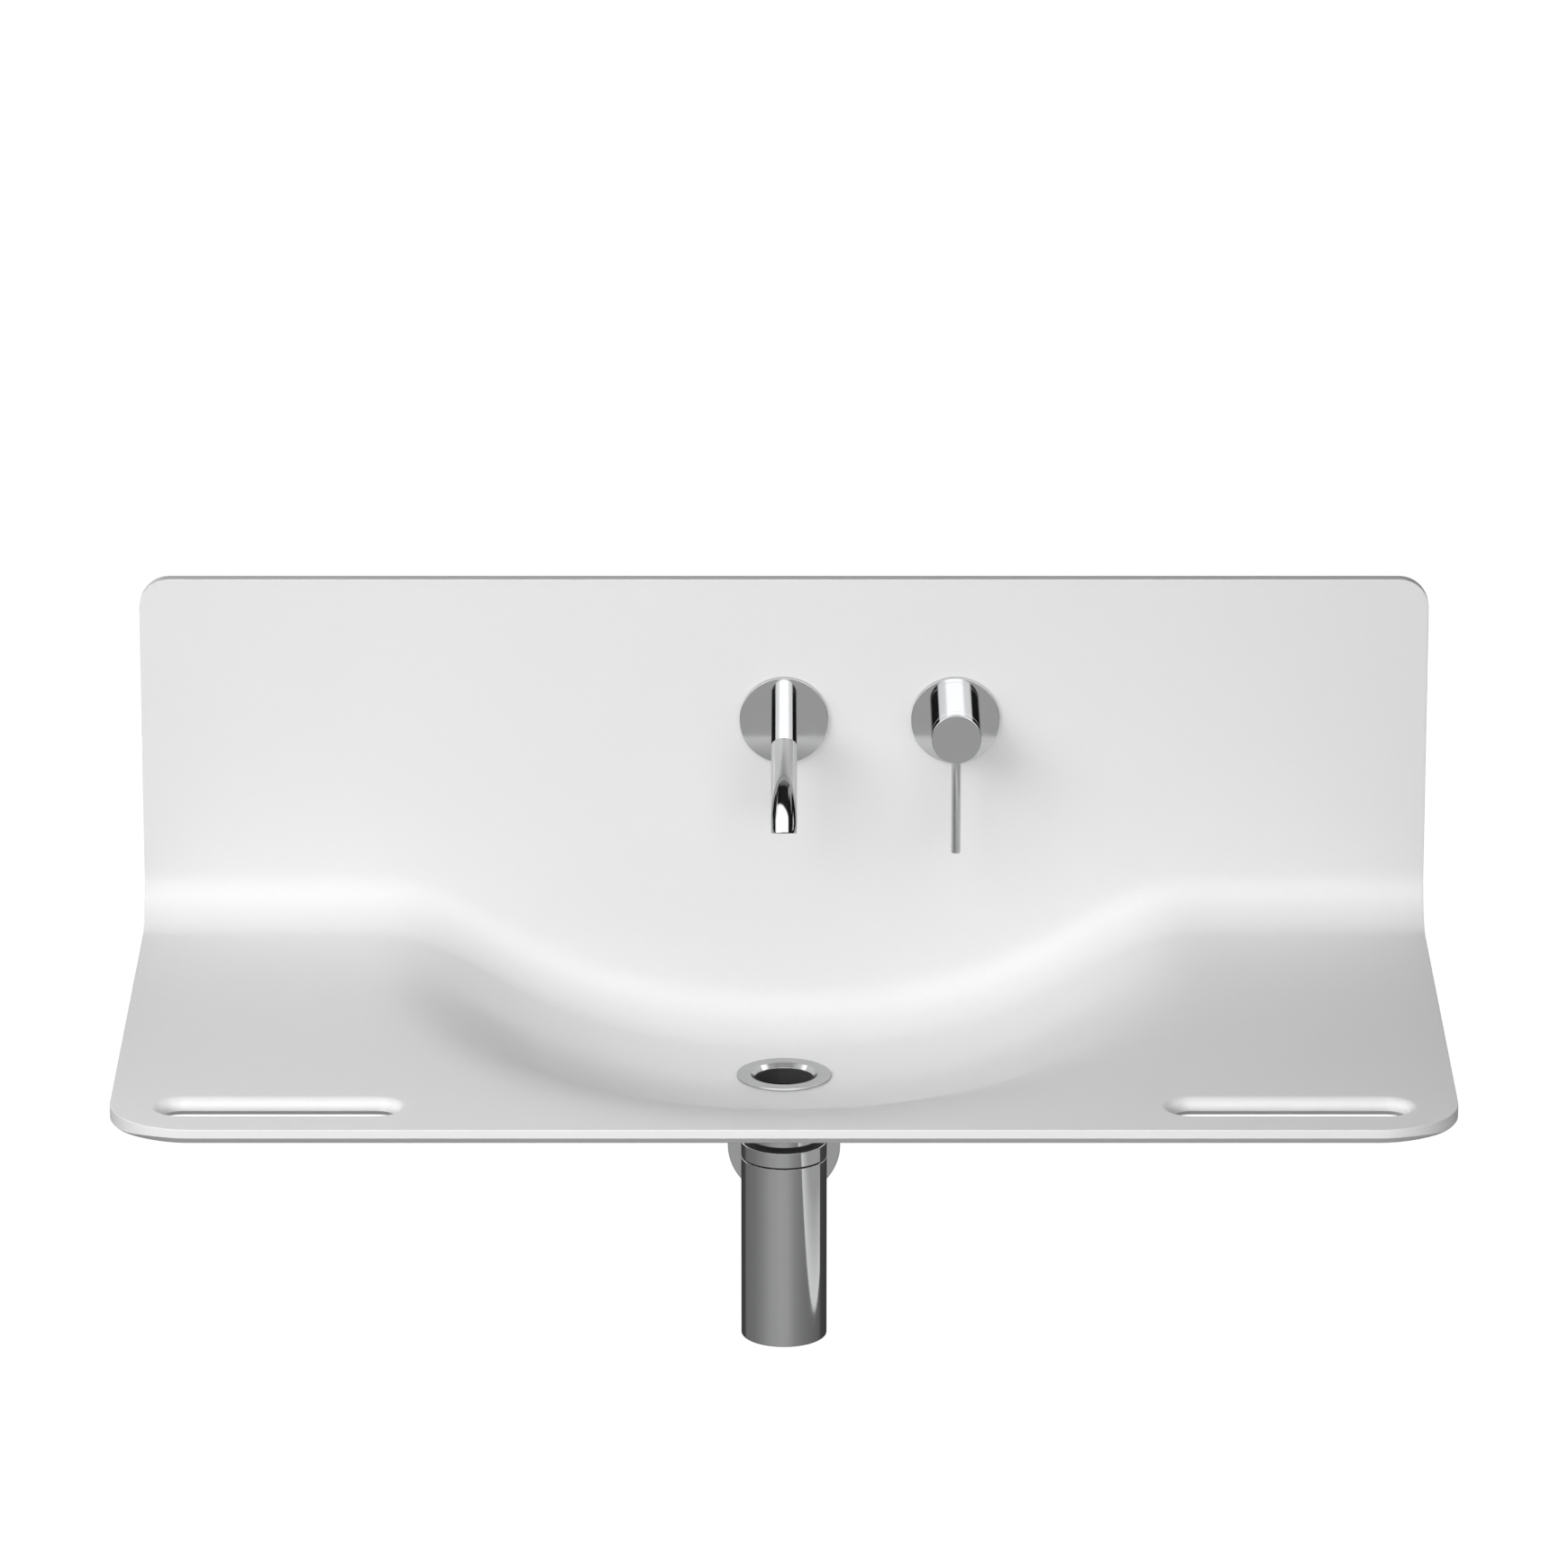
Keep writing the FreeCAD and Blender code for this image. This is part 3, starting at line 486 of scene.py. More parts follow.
def rim_turn(x, u):
    """Turns the shading normals of the bowl's front half towards the wall. The surface itself stays where it is."""
    e = BEND_R + u - U_DECK - WASTE_D
    rho = np.sqrt((x / BOWL_HALF_X) ** 2 + (e / BOWL_FRONT) ** 2)
    g = np.stack([x / BOWL_HALF_X ** 2, e / BOWL_FRONT ** 2], -1)
    g /= np.maximum(np.linalg.norm(g, axis=-1, keepdims=True), 1e-9)
    a = np.clip((1.12 - rho) / 0.20, 0.0, 1.0)
    b = np.clip((rho - 0.08) / 0.40, 0.0, 1.0)
    w = RIM_TURN * a * a * (3 - 2 * a) * b * b * (3 - 2 * b) * np.clip(g[:, 1], 0.0, 1.0)
    c = np.clip((e + 15.0) / 75.0, 0.0, 1.0)
    f = np.clip((1.0 - rho) / 0.35, 0.0, 1.0)
    floor_turn = FLOOR_TURN * c * c * (3 - 2 * c) * f * f * (3 - 2 * f)
    return np.stack([-g[:, 0] * w, g[:, 1] * w + floor_turn, np.zeros_like(w)], -1)


def basin():
    u_tap = UPSTAND - TAP_Z
    u_waste = U_DECK + WASTE_D - BEND_R
    loops = [
        ("outline", outline(), EDGE_TOP, 1.0),
        ("slot_l", stadium(-SLOT_X), SLOT_TOP, SLOT_LOW),
        ("slot_r", stadium(SLOT_X), SLOT_TOP, SLOT_LOW),
        ("tap_a", circle(0.0, u_tap, 15.0, 56), 0.8, 0.8),
        ("tap_b", circle(MIXER_X, u_tap, 21.0, 64), 0.8, 0.8),
        ("waste", circle(0.0, u_waste, 23.0, 64), 0.8, 0.8),
    ]

    def inside(x, u, margin):
        """How far (x, u) stays clear of every edge, less the margin of each loop."""
        m = signed_outline(x, u) - margin["outline"](x, u)
        m = np.minimum(m, signed_slot(x, u, -SLOT_X) - margin["slot_l"])
        m = np.minimum(m, signed_slot(x, u, SLOT_X) - margin["slot_r"])
        m = np.minimum(m, np.hypot(x, u - u_tap) - 15.0 - margin["tap_a"])
        m = np.minimum(m, np.hypot(x - MIXER_X, u - u_tap) - 21.0 - margin["tap_b"])
        m = np.minimum(m, np.hypot(x, u - u_waste) - 23.0 - margin["waste"])
        return m

    verts, norms, faces = [], [], []
    count = 0
    boss_r, boss_z = 36.0, -96.0

    def add(p, n):
        nonlocal count
        start = count
        verts.append(p)
        norms.append(n)
        count += len(p)
        return np.arange(start, count)

    tops, unders = {}, {}
    for name, loop, r_top, r_low in loops:
        loop = np.array(loop)
        ox, ou = loop[:, 2], loop[:, 3]
        one = np.ones(len(loop))
        thick = SLOT_T * one if name.startswith("slot") else SHEET * one
        low = r_low * one
        if name == "outline":
            thick = SHEET + (EDGE_T - SHEET) * facing(loop[:, 0], loop[:, 1])
            low = edge_low(loop[:, 0], loop[:, 1])
        section = []
        steps = 8 if r_top > 2 else 5
        for k in range(steps + 1):
            b = 0.5 * math.pi * k / steps
            section.append((r_top * (1 - math.sin(b)) * one, r_top * (1 - math.cos(b)) * one, b))
        f = np.minimum(0.35, 0.3 * low)
        section += [(0.0 * one, thick - low - 0.7 * f, 0.5 * math.pi), (0.12 * f, thick - low - 0.1 * f, 0.625 * math.pi),
                    (0.5 * f, thick - low + 0.5 * f, 0.75 * math.pi), (low - 1.3 * f, thick - 1.3 * f, 0.75 * math.pi),
                    (low - 0.55 * f, thick - 0.45 * f, 0.875 * math.pi), (low, thick, math.pi)]
        rings = []
        for e, h, b in section:
            x, u = loop[:, 0] - e * ox, loop[:, 1] - e * ou
            p, px, pu, n = skin_frame(x, u)
            out = px * ox[:, None] + pu * ou[:, None]
            out /= np.linalg.norm(out, axis=1, keepdims=True)
            q = p - n * h[:, None]
            nn = n * math.cos(b) + out * math.sin(b)
            if name == "outline":        # only the shading normals of the panel's top edge turn towards the wall
                nn[:, 1] += 0.30 * np.maximum(-ou, 0.0) ** 2 * math.sin(b) ** 2
            if name == "waste" and h[0] > SHEET - 1.0:
                q[:, 2] = boss_z + (SHEET - h)
            rings.append(add(q, nn))
        m = len(loop)
        j = np.roll(np.arange(m), -1)
        for a, b in zip(rings, rings[1:]):
            faces.append(np.stack([a, a[j], b[j], b], 1))
        tops[name] = (loop[:, 0] - r_top * ox, loop[:, 1] - r_top * ou, rings[0])
        unders[name] = (loop[:, 0] - low * ox, loop[:, 1] - low * ou, rings[-1])

    def sheet(edge, margin, h, flip):
        pts, ids, cons = [], [], []
        for name in edge:
            x, u, ring = edge[name]
            s = len(pts)
            pts += list(zip(x.tolist(), u.tolist()))
            ids += ring.tolist()
            m = len(ring)
            cons += [(s + k, s + (k + 1) % m) for k in range(m)]
        extra = []
        if h > 0:
            for r in (boss_r - 6.0, boss_r, boss_r + 0.9):
                s = len(pts)
                ring = circle(0.0, u_waste, r, 72)
                pts += [(q[0], q[1]) for q in ring]
                extra += [(q[0], q[1]) for q in ring]
                cons += [(s + k, s + (k + 1) % 72) for k in range(72)]
        # points over the whole sheet, closer together round the bend
        gx = np.linspace(-WIDTH / 2, WIDTH / 2, 205)
        gu = np.concatenate([np.linspace(4, U_BEND, 48, endpoint=False),
                             np.linspace(U_BEND, U_DECK, 20, endpoint=False),
                             np.linspace(U_DECK, U_END - 4, 96)])
        X, Uu = np.meshgrid(gx, gu)
        X[::2] += (gx[1] - gx[0]) / 2
        X, Uu = X.ravel(), Uu.ravel()
        keep = inside(X, Uu, margin) > 2.6
        if h > 0:
            keep &= np.abs(np.hypot(X, Uu - u_waste) - boss_r) > 3.2
        grid = np.stack([X[keep], Uu[keep]], 1)
        extra += [tuple(q) for q in grid.tolist()]
        pts += [tuple(q) for q in grid.tolist()]
        res = delaunay_2d_cdt([Vector(q) for q in pts], cons, [], 0, 1e-5)
        vs, tri, orig = res[0], res[2], res[3]
        ex = np.array(extra)
        p, px, pu, n = skin_frame(ex[:, 0], ex[:, 1])
        q = p - n * h
        if h == 0:
            n = n + rim_turn(ex[:, 0], ex[:, 1])
        if h > 0:
            r = np.hypot(ex[:, 0], ex[:, 1] - u_waste)
            on = r < boss_r + 0.3
            q[on, 2] = boss_z
            n[on] = (0, 0, 1)
        new = add(q, -n if flip else n)
        lookup = ids + new.tolist()
        index = [lookup[o[0]] if o else -1 for o in orig]
        vx = np.array([(w[0], w[1]) for w in vs])
        t = np.array([f for f in tri if len(f) == 3])
        c = vx[t].mean(1)
        good = inside(c[:, 0], c[:, 1], margin) > 0
        index = np.array(index)
        t = index[t[good]]
        t = t[(t >= 0).all(1)]
        faces.append(t)

    sheet(tops, {"outline": lambda x, u: EDGE_TOP, "slot_l": SLOT_TOP, "slot_r": SLOT_TOP, "tap_a": 0.8, "tap_b": 0.8, "waste": 0.8}, 0.0, False)
    sheet(unders, {"outline": edge_low, "slot_l": SLOT_LOW, "slot_r": SLOT_LOW, "tap_a": 0.8, "tap_b": 0.8, "waste": 0.8}, SHEET, True)
    v = np.concatenate(verts)
    n = np.concatenate(norms)
    f = [list(map(int, r)) for block in faces for r in block]
    return build("sheet", v, f, n, "vanity", ["basin_top"], MATS["solid_surface"])


basin()


# ----------------------------------------------------------------------------
# Taps on the panel
# ----------------------------------------------------------------------------
def rosette(name, x, hole, node):
    pts = [(hole, -11.6, 0.1), (27.8, -11.6, 0.1), (27.8, -10.02, 0.1), (31.0, -10.02, 0.15),
           (31.0, -14.0, 0.35), (hole, -14.0)]
    lathe(name, pts, "Y", x, TAP_Z, "vanity", [node], CHROME, seg=160)


rosette("spout_plate", 0.0, 8.85, "spout_rosette")
rosette("mixer_plate", MIXER_X, 17.3, "mixer_rosette")

SPOUT_Y = -74.0
SPOUT_R, SPOUT_BORE = 9.0, 8.1
SPOUT_TIP = 84.0
LEAN = 9.9 / 42.0        # how far the open end's cut leans back, per mm of height
CUT_Y = -72.2


def cut_y(z):
    return CUT_Y - (z - SPOUT_TIP) * LEAN


def cut_z(y):
    return SPOUT_TIP + (CUT_Y - y) / LEAN


def rise(z):
    """0 high in the bore, 1 on the ramp near the tip."""
    return min(1.0, max(0.0, (124.0 - z - 6.0) / 24.0))


# how much the ramp turns up, across the channel from left to right
TURN_AT = (-0.85, -0.62, -0.30, 0.0, 0.20, 0.35, 0.50, 1.0)
TURN_UP = (0.0, 0.20, 0.145, 0.105, 0.088, 0.078, 0.0, -0.05)


def channel_y(s, z):
    """Back of the spout's bore at height z; s is the sine round the tube, negative at the back.
    Towards the tip the back comes forward in a curved ramp that throws the water clear."""
    k = max(0.0, 124.0 - z)
    come = k * math.tan(math.radians(2.0))
    if k > 6.0:
        come += (min(k - 6.0, 24.0) ** 2 / 48.0 + max(0.0, k - 30.0)) * math.tan(math.radians(6.0))
    back = SPOUT_Y + SPOUT_BORE - come
    deep = SPOUT_BORE - min(1.0, k / 30.0) * 2.1
    if s >= 0:
        return SPOUT_Y - SPOUT_BORE * s
    return back - deep * (1.0 + s)


def spout():
    m = Mesh()
    n = 128
    ang = [2 * math.pi * (k + 0.5) / n for k in range(n)]
    cs = [(math.cos(t), math.sin(t)) for t in ang]
    R, B = SPOUT_R, SPOUT_BORE
    # outside, along Y to the mitre
    nor = [(c, 0, s) for c, s in cs]
    a = m.ring([(R * c, -8.0, TAP_Z + R * s) for c, s in cs], nor)
    b = m.ring([(R * c, SPOUT_Y - R * s, TAP_Z + R * s) for c, s in cs], nor)
    m.bridge(a, b)
    # inside, along Y
    inor = [(-c, 0, -s) for c, s in cs]
    ia = m.ring([(B * c, -8.0, TAP_Z + B * s) for c, s in cs], inor)
    ib = m.ring([(B * c, SPOUT_Y - B * s, TAP_Z + B * s) for c, s in cs], inor)
    m.bridge(ia, ib)
    end_a = m.ring([(R * c, -8.0, TAP_Z + R * s) for c, s in cs], [(0, 1, 0)] * n)
    end_b = m.ring([(B * c, -8.0, TAP_Z + B * s) for c, s in cs], [(0, 1, 0)] * n)
    m.bridge(end_a, end_b)
    # outside, down from the mitre to the open end
    vn = [(c, -s, -0.05 * max(0.0, s)) for c, s in cs]
    low = []
    for c, s in cs:
        y = SPOUT_Y - R * s
        low.append(max(SPOUT_TIP, cut_z(y)))
    edge = 0.35
    cut_n = (0.0, -1.0 / math.hypot(1.0, LEAN), -LEAN / math.hypot(1.0, LEAN))
    prev = m.ring([(R * c, SPOUT_Y - R * s, TAP_Z + R * s) for c, s in cs], vn)
    cur = m.ring([(R * c, SPOUT_Y - R * s, low[k] + edge * (1.0 if low[k] <= SPOUT_TIP + 1e-6 else 3.0)) for k, (c, s) in enumerate(cs)], vn)
    m.bridge(prev, cur)
    # rounded outer rim, then the cut face
    rim = [cur]
    for k in range(1, 5):
        w = k / 4
        pts, nn = [], []
        for i, (c, s) in enumerate(cs):
            top = low[i] + edge * (1.0 if low[i] <= SPOUT_TIP + 1e-6 else 3.0)
            flat = low[i] <= SPOUT_TIP + 1e-6
            en = (0, 0, -1) if flat else cut_n
            b0 = 0.5 * math.pi * w
            rr = R - edge * (1 - math.cos(b0))
            y = SPOUT_Y - rr * s
            z = top + (low[i] - top) * math.sin(b0)
            if not flat:
                z = top + (max(SPOUT_TIP, cut_z(y)) - top) * math.sin(b0)
            pts.append((rr * c, y, z))
            nn.append(tuple(math.cos(b0) * p + math.sin(b0) * q for p, q in zip((c, -s, 0), en)))
        r = m.ring(pts, nn)
        m.bridge(rim[-1], r)
        rim.append(r)
    # bore, from the mitre down to the cut
    bottom = []
    for c, s in cs:
        lo, hi = SPOUT_TIP, 148.0
        if s >= 0:
            z = max(SPOUT_TIP, cut_z(SPOUT_Y - B * s))
        else:
            for _ in range(40):
                mid = 0.5 * (lo + hi)
                if channel_y(s, mid) >= cut_y(mid):
                    hi = mid
                else:
                    lo = mid
            z = hi
        bottom.append(z)
    rows = 40
    last = None
    for r in range(rows + 1):
        pts, nn = [], []
        for i, (c, s) in enumerate(cs):
            top = TAP_Z + B * s
            t = r / rows
            z = top + (bottom[i] - top) * (1 - (1 - t) ** 1.6)
            y = channel_y(s, z)
            pts.append((B * c, y, z))
            h = 0.05
            dz = (channel_y(s, z + h) - channel_y(s, z - h)) / (2 * h)
            # tangent round the bore and down it
            t0 = 0.01
            c1, s1 = math.cos(ang[i] + t0), math.sin(ang[i] + t0)
            c2, s2 = math.cos(ang[i] - t0), math.sin(ang[i] - t0)
            ta = np.array([B * (c1 - c2), channel_y(s1, z) - channel_y(s2, z), 0.0])
            tb = np.array([0.0, dz, 1.0])
            g = np.cross(ta, tb)
            if g @ np.array([c, -s, 0.0]) > 0:
                g = -g
            g = g / np.linalg.norm(g)
            if s < 0:
                g = g + rise(z) * np.array([-0.10, 0.0, np.interp(c, TURN_AT, TURN_UP)])
            nn.append(tuple(g))
        ring = m.ring(pts, nn)
        if last:
            m.bridge(last, ring)
        last = ring
    # the cut face, and the flat under the tip behind it
    inner = m.ring([(B * c, channel_y(s, bottom[i]), bottom[i]) for i, (c, s) in enumerate(cs)], [cut_n] * n)
    reach = math.sqrt(R * R - (CUT_Y - SPOUT_Y) ** 2) - 0.3
    fold, fold_n, outer, outer_n = [], [], [], []
    for i, (c, s) in enumerate(cs):
        p = m.v[rim[-1][i]]
        outer.append(p)
        if low[i] <= SPOUT_TIP + 1e-6:
            fold.append((max(-reach, min(reach, B * c * reach / B)), CUT_Y, SPOUT_TIP))
        else:
            fold.append(p)
    fold_a = m.ring(fold, [cut_n] * n)
    m.bridge(inner, fold_a)
    fold_b = m.ring(fold, [(0, 0, -1)] * n)
    outer_b = m.ring(outer, [(0, 0, -1)] * n)
    m.bridge(fold_b, outer_b)
    return m.make("spout", "vanity", ["spout_tube"], CHROME_SPOUT_PAINTED_BRIGHT)


spout()

lathe("mixer_collar", [(15.5, -10.5, 0.1), (17.5, -10.5, 0.1), (17.5, -49.0, 0.22), (15.5, -49.0, 0.1)],
      "Y", MIXER_X, TAP_Z, "vanity", ["mixer_sleeve"], CHROME, seg=160)
lathe("mixer_cap", [(0.0, -49.3), (17.5, -49.3, 0.22), (17.5, -59.0, 0.4), (0.0, -59.0)],
      "Y", MIXER_X, TAP_Z, "mixer_handle", ["mixer_knob"], CHROME, seg=160, closed=False)
lathe("mixer_pin", [(0.0, 143.9), (3.25, 143.9, 0.2), (3.25, 64.0, 0.6), (0.0, 64.0)],
      "Z", MIXER_X, -54.0, "mixer_handle", ["mixer_lever"], CHROME_PIN_PAINTED_DARK, seg=64, closed=False)


# ----------------------------------------------------------------------------
# Waste in the bowl
# ----------------------------------------------------------------------------
def box_into(m, centre, half, turn, r=0.25):
    """A bar with rounded edges, turned about Z."""
    ca, sa = math.cos(turn), math.sin(turn)

    def place(p):
        return (centre[0] + p[0] * ca - p[1] * sa, centre[1] + p[0] * sa + p[1] * ca, centre[2] + p[2])

    def turnv(p):
        return (p[0] * ca - p[1] * sa, p[0] * sa + p[1] * ca, p[2])

    steps = 3
    loop = []
    for cy, cz, a0 in ((1, 1, 0.0), (-1, 1, 0.5 * math.pi), (-1, -1, math.pi), (1, -1, 1.5 * math.pi)):
        for k in range(steps + 1):
            a = a0 + 0.5 * math.pi * k / steps
            loop.append((cy * (half[1] - r) + r * math.cos(a), cz * (half[2] - r) + r * math.sin(a), math.cos(a), math.sin(a)))
    a = m.ring([place((-half[0], y, z)) for y, z, _, _ in loop], [turnv((0, p, q)) for _, _, p, q in loop])
    b = m.ring([place((half[0], y, z)) for y, z, _, _ in loop], [turnv((0, p, q)) for _, _, p, q in loop])
    m.bridge(a, b)
    for sign in (-1, 1):
        e = m.ring([place((sign * half[0], y, z)) for y, z, _, _ in loop], [turnv((sign, 0, 0))] * len(loop))
        m.f.append(e)


def waste():
    m = Mesh()
    pts = [(20.8, -100.0, 0.2), (22.0, -100.0, 0.2), (22.0, -83.6, 0.2), (33.0, -83.8, 0.1), (33.0, -82.1, 0.2),
           (32.8, -81.6, 0.2), (23.4, -81.6, 0.5), (20.8, -84.7, 0.4)]
    lathe_into(m, rounded(pts, 6), "Z", 0.0, WASTE_Y, 160)
    hub = [(3.2, -100.0, 0.2), (5.6, -100.0, 0.3), (5.6, -95.5, 0.5), (3.2, -95.5, 0.3)]
    lathe_into(m, rounded(hub, 4), "Z", 0.0, WASTE_Y, 64)
    for k in range(6):
        a = math.radians(30 + 60 * k)
        box_into(m, (13.0 * math.cos(a), WASTE_Y + 13.0 * math.sin(a), -98.25), (7.9, 1.6, 1.75), a, 0.5)
    return m.make("waste_ring", "vanity", ["waste_flange"], CHROME_WASTE_PAINTED_DARK)


waste()


def screw_head():
    m = Mesh()
    pts = [(0.0, -117.5), (2.6, -117.5, 0.2), (3.0, -116.9, 0.2), (3.0, -95.5, 0.1), (5.0, -95.5, 0.2), (5.0, -93.9, 0.7), (3.6, -93.1, 0.7), (0.0, -92.8)]
    lathe_into(m, rounded(pts, 4, False), "Z", 0.0, WASTE_Y, 64, False)
    return m.make("waste_bolt", "vanity", ["waste_screw"], MATS["stainless_steel"])


screw_head()
# a thin black rubber sleeve inside the waste's bore, put there as painted shade so the hole reads dark
lathe("waste_painted_shade_sleeve", [(20.35, -96.4, 0.1), (20.75, -96.4, 0.1), (20.75, -85.1, 0.1), (20.35, -85.4, 0.15)],
      "Z", 0.0, WASTE_Y, "vanity", ["waste_lining"], MATS["rubber"], seg=160)

# ----------------------------------------------------------------------------
# Bottle trap
# ----------------------------------------------------------------------------
lathe("trap_collar", [(16.3, -128.3, 0.3), (25.0, -128.3, 0.5), (25.0, -106.0, 0.5), (21.0, -106.0, 0.2), (21.0, -126.3, 0.2), (16.3, -126.3, 0.2)],
      "Z", 0.0, WASTE_Y, "vanity", ["trap_neck_nut"], CHROME, seg=160)
lathe("trap_ring", [(16.2, -130.5, 0.2), (30.0, -130.5, 0.5), (30.0, -141.35, 0.3), (26.95, -141.35, 0.2), (26.95, -151.0, 0.2), (20.0, -151.0, 0.2), (20.0, -135.5, 0.2), (16.2, -135.5, 0.2)],
      "Z", 0.0, WASTE_Y, "vanity", ["trap_cap_ring"], CHROME, seg=192)


def trap():
    m = Mesh()
    pts = [(27.0, -274.7, 0.3), (30.0, -274.7, 1.0), (30.0, -142.45, 0.3), (27.0, -142.45, 0.2)]
    lathe_into(m, rounded(pts, 6), "Z", 0.0, WASTE_Y, 192)
    # outlet boss on the wall side, with its bore
    boss = [(16.1, -80.0, 0.1), (19.0, -80.0, 0.1), (19.0, -63.0, 0.3), (16.1, -63.0, 0.3)]
    lathe_into(m, rounded(boss, 4), "Y", 0.0, -170.0, 112)
    return m.make("trap_bottle", "vanity", ["trap_body"], CHROME)


trap()
# the black rubber washer over the cap ring's top: a real seal, and also painted shade standing in for the dark
# reflection of the basin's underside in that chrome face
lathe("trap_washer_and_shade", [(16.3, -130.45, 0.1), (29.3, -130.45, 0.1), (29.3, -130.1, 0.15), (24.6, -129.2, 0.6), (24.2, -128.4, 0.2), (16.3, -128.4, 0.1)],
      "Z", 0.0, WASTE_Y, "vanity", ["trap_neck_washer"], MATS["rubber"], seg=160)
lathe("trap_gasket", [(27.0, -142.4, 0.1), (29.5, -142.4, 0.1), (29.5, -141.4, 0.1), (27.0, -141.4, 0.1)],
      "Z", 0.0, WASTE_Y, "vanity", ["trap_joint_gasket"], MATS["rubber"], seg=160)
lathe("outlet_collar", [(16.15, -62.9, 0.1), (16.15, -60.0, 0.2), (23.0, -60.0, 0.9), (23.0, -71.6, 0.6), (19.1, -71.6, 0.2), (19.1, -62.9, 0.1)],
      "Y", 0.0, -170.0, "vanity", ["trap_outlet_nut"], CHROME, seg=128)
lathe("outlet_pipe", [(14.8, -74.0, 0.2), (16.0, -74.0, 0.2), (16.0, 1.0, 0.2), (15.3, 1.4, 0.2), (15.3, 2.1, 0.2), (16.0, 2.5, 0.2), (16.0, 60.0, 0.3), (14.8, 60.0, 0.3)],
      "Y", 0.0, -170.0, "vanity", ["trap_outlet_pipe"], CHROME, seg=112)
lathe("wall_plate", [(16.2, -4.6, 0.1), (16.2, -6.0), (40.0, -6.0, 0.6), (40.0, -0.05, 0.1), (38.6, -0.05, 0.1), (38.6, -4.6, 0.3)],
      "Y", 0.0, -170.0, "vanity", ["wall_rosette"], CHROME, seg=160, steps=6)
lathe("waste_tailpiece", [(18.2, -123.0, 0.2), (20.9, -123.0, 0.3), (20.9, -102.5, 0.4), (33.0, -102.5, 0.6), (33.0, -98.0, 0.4), (23.0, -98.0, 0.2), (23.0, -101.0, 0.2), (18.2, -104.5, 0.4)],
      "Z", 0.0, WASTE_Y, "vanity", ["waste_tail"], CHROME, seg=128)


# ----------------------------------------------------------------------------
# Floor, light and camera
# ----------------------------------------------------------------------------
def floor():
    me = bpy.data.meshes.new("floor")
    s, z = 14.0, -0.86
    me.from_pydata([(-s, -s, z), (s, -s, z), (s, s, z), (-s, s, z)], [], [(0, 1, 2, 3)])
    me.update()
    ob = bpy.data.objects.new("floor", me)
    bpy.context.scene.collection.objects.link(ob)
    mat = bpy.data.materials.new("floor")
    mat.use_nodes = True
    nt = mat.node_tree
    nt.nodes.clear()
    out = nt.nodes.new("ShaderNodeOutputMaterial")
    emit = nt.nodes.new("ShaderNodeEmission")
    emit.inputs["Color"].default_value = (1, 1, 1, 1)
    emit.inputs["Strength"].default_value = 1.05
    clear = nt.nodes.new("ShaderNodeBsdfTransparent")
    geo = nt.nodes.new("ShaderNodeNewGeometry")
    mix = nt.nodes.new("ShaderNodeMixShader")
    nt.links.new(geo.outputs["Backfacing"], mix.inputs["Fac"])
    nt.links.new(emit.outputs["Emission"], mix.inputs[1])
    nt.links.new(clear.outputs["BSDF"], mix.inputs[2])
    nt.links.new(mix.outputs["Shader"], out.inputs["Surface"])
    me.materials.append(mat)
    ob.visible_glossy = False
    ob.visible_diffuse = False
    ob.visible_shadow = False
    ob.visible_transmission = False
    return ob


floor()


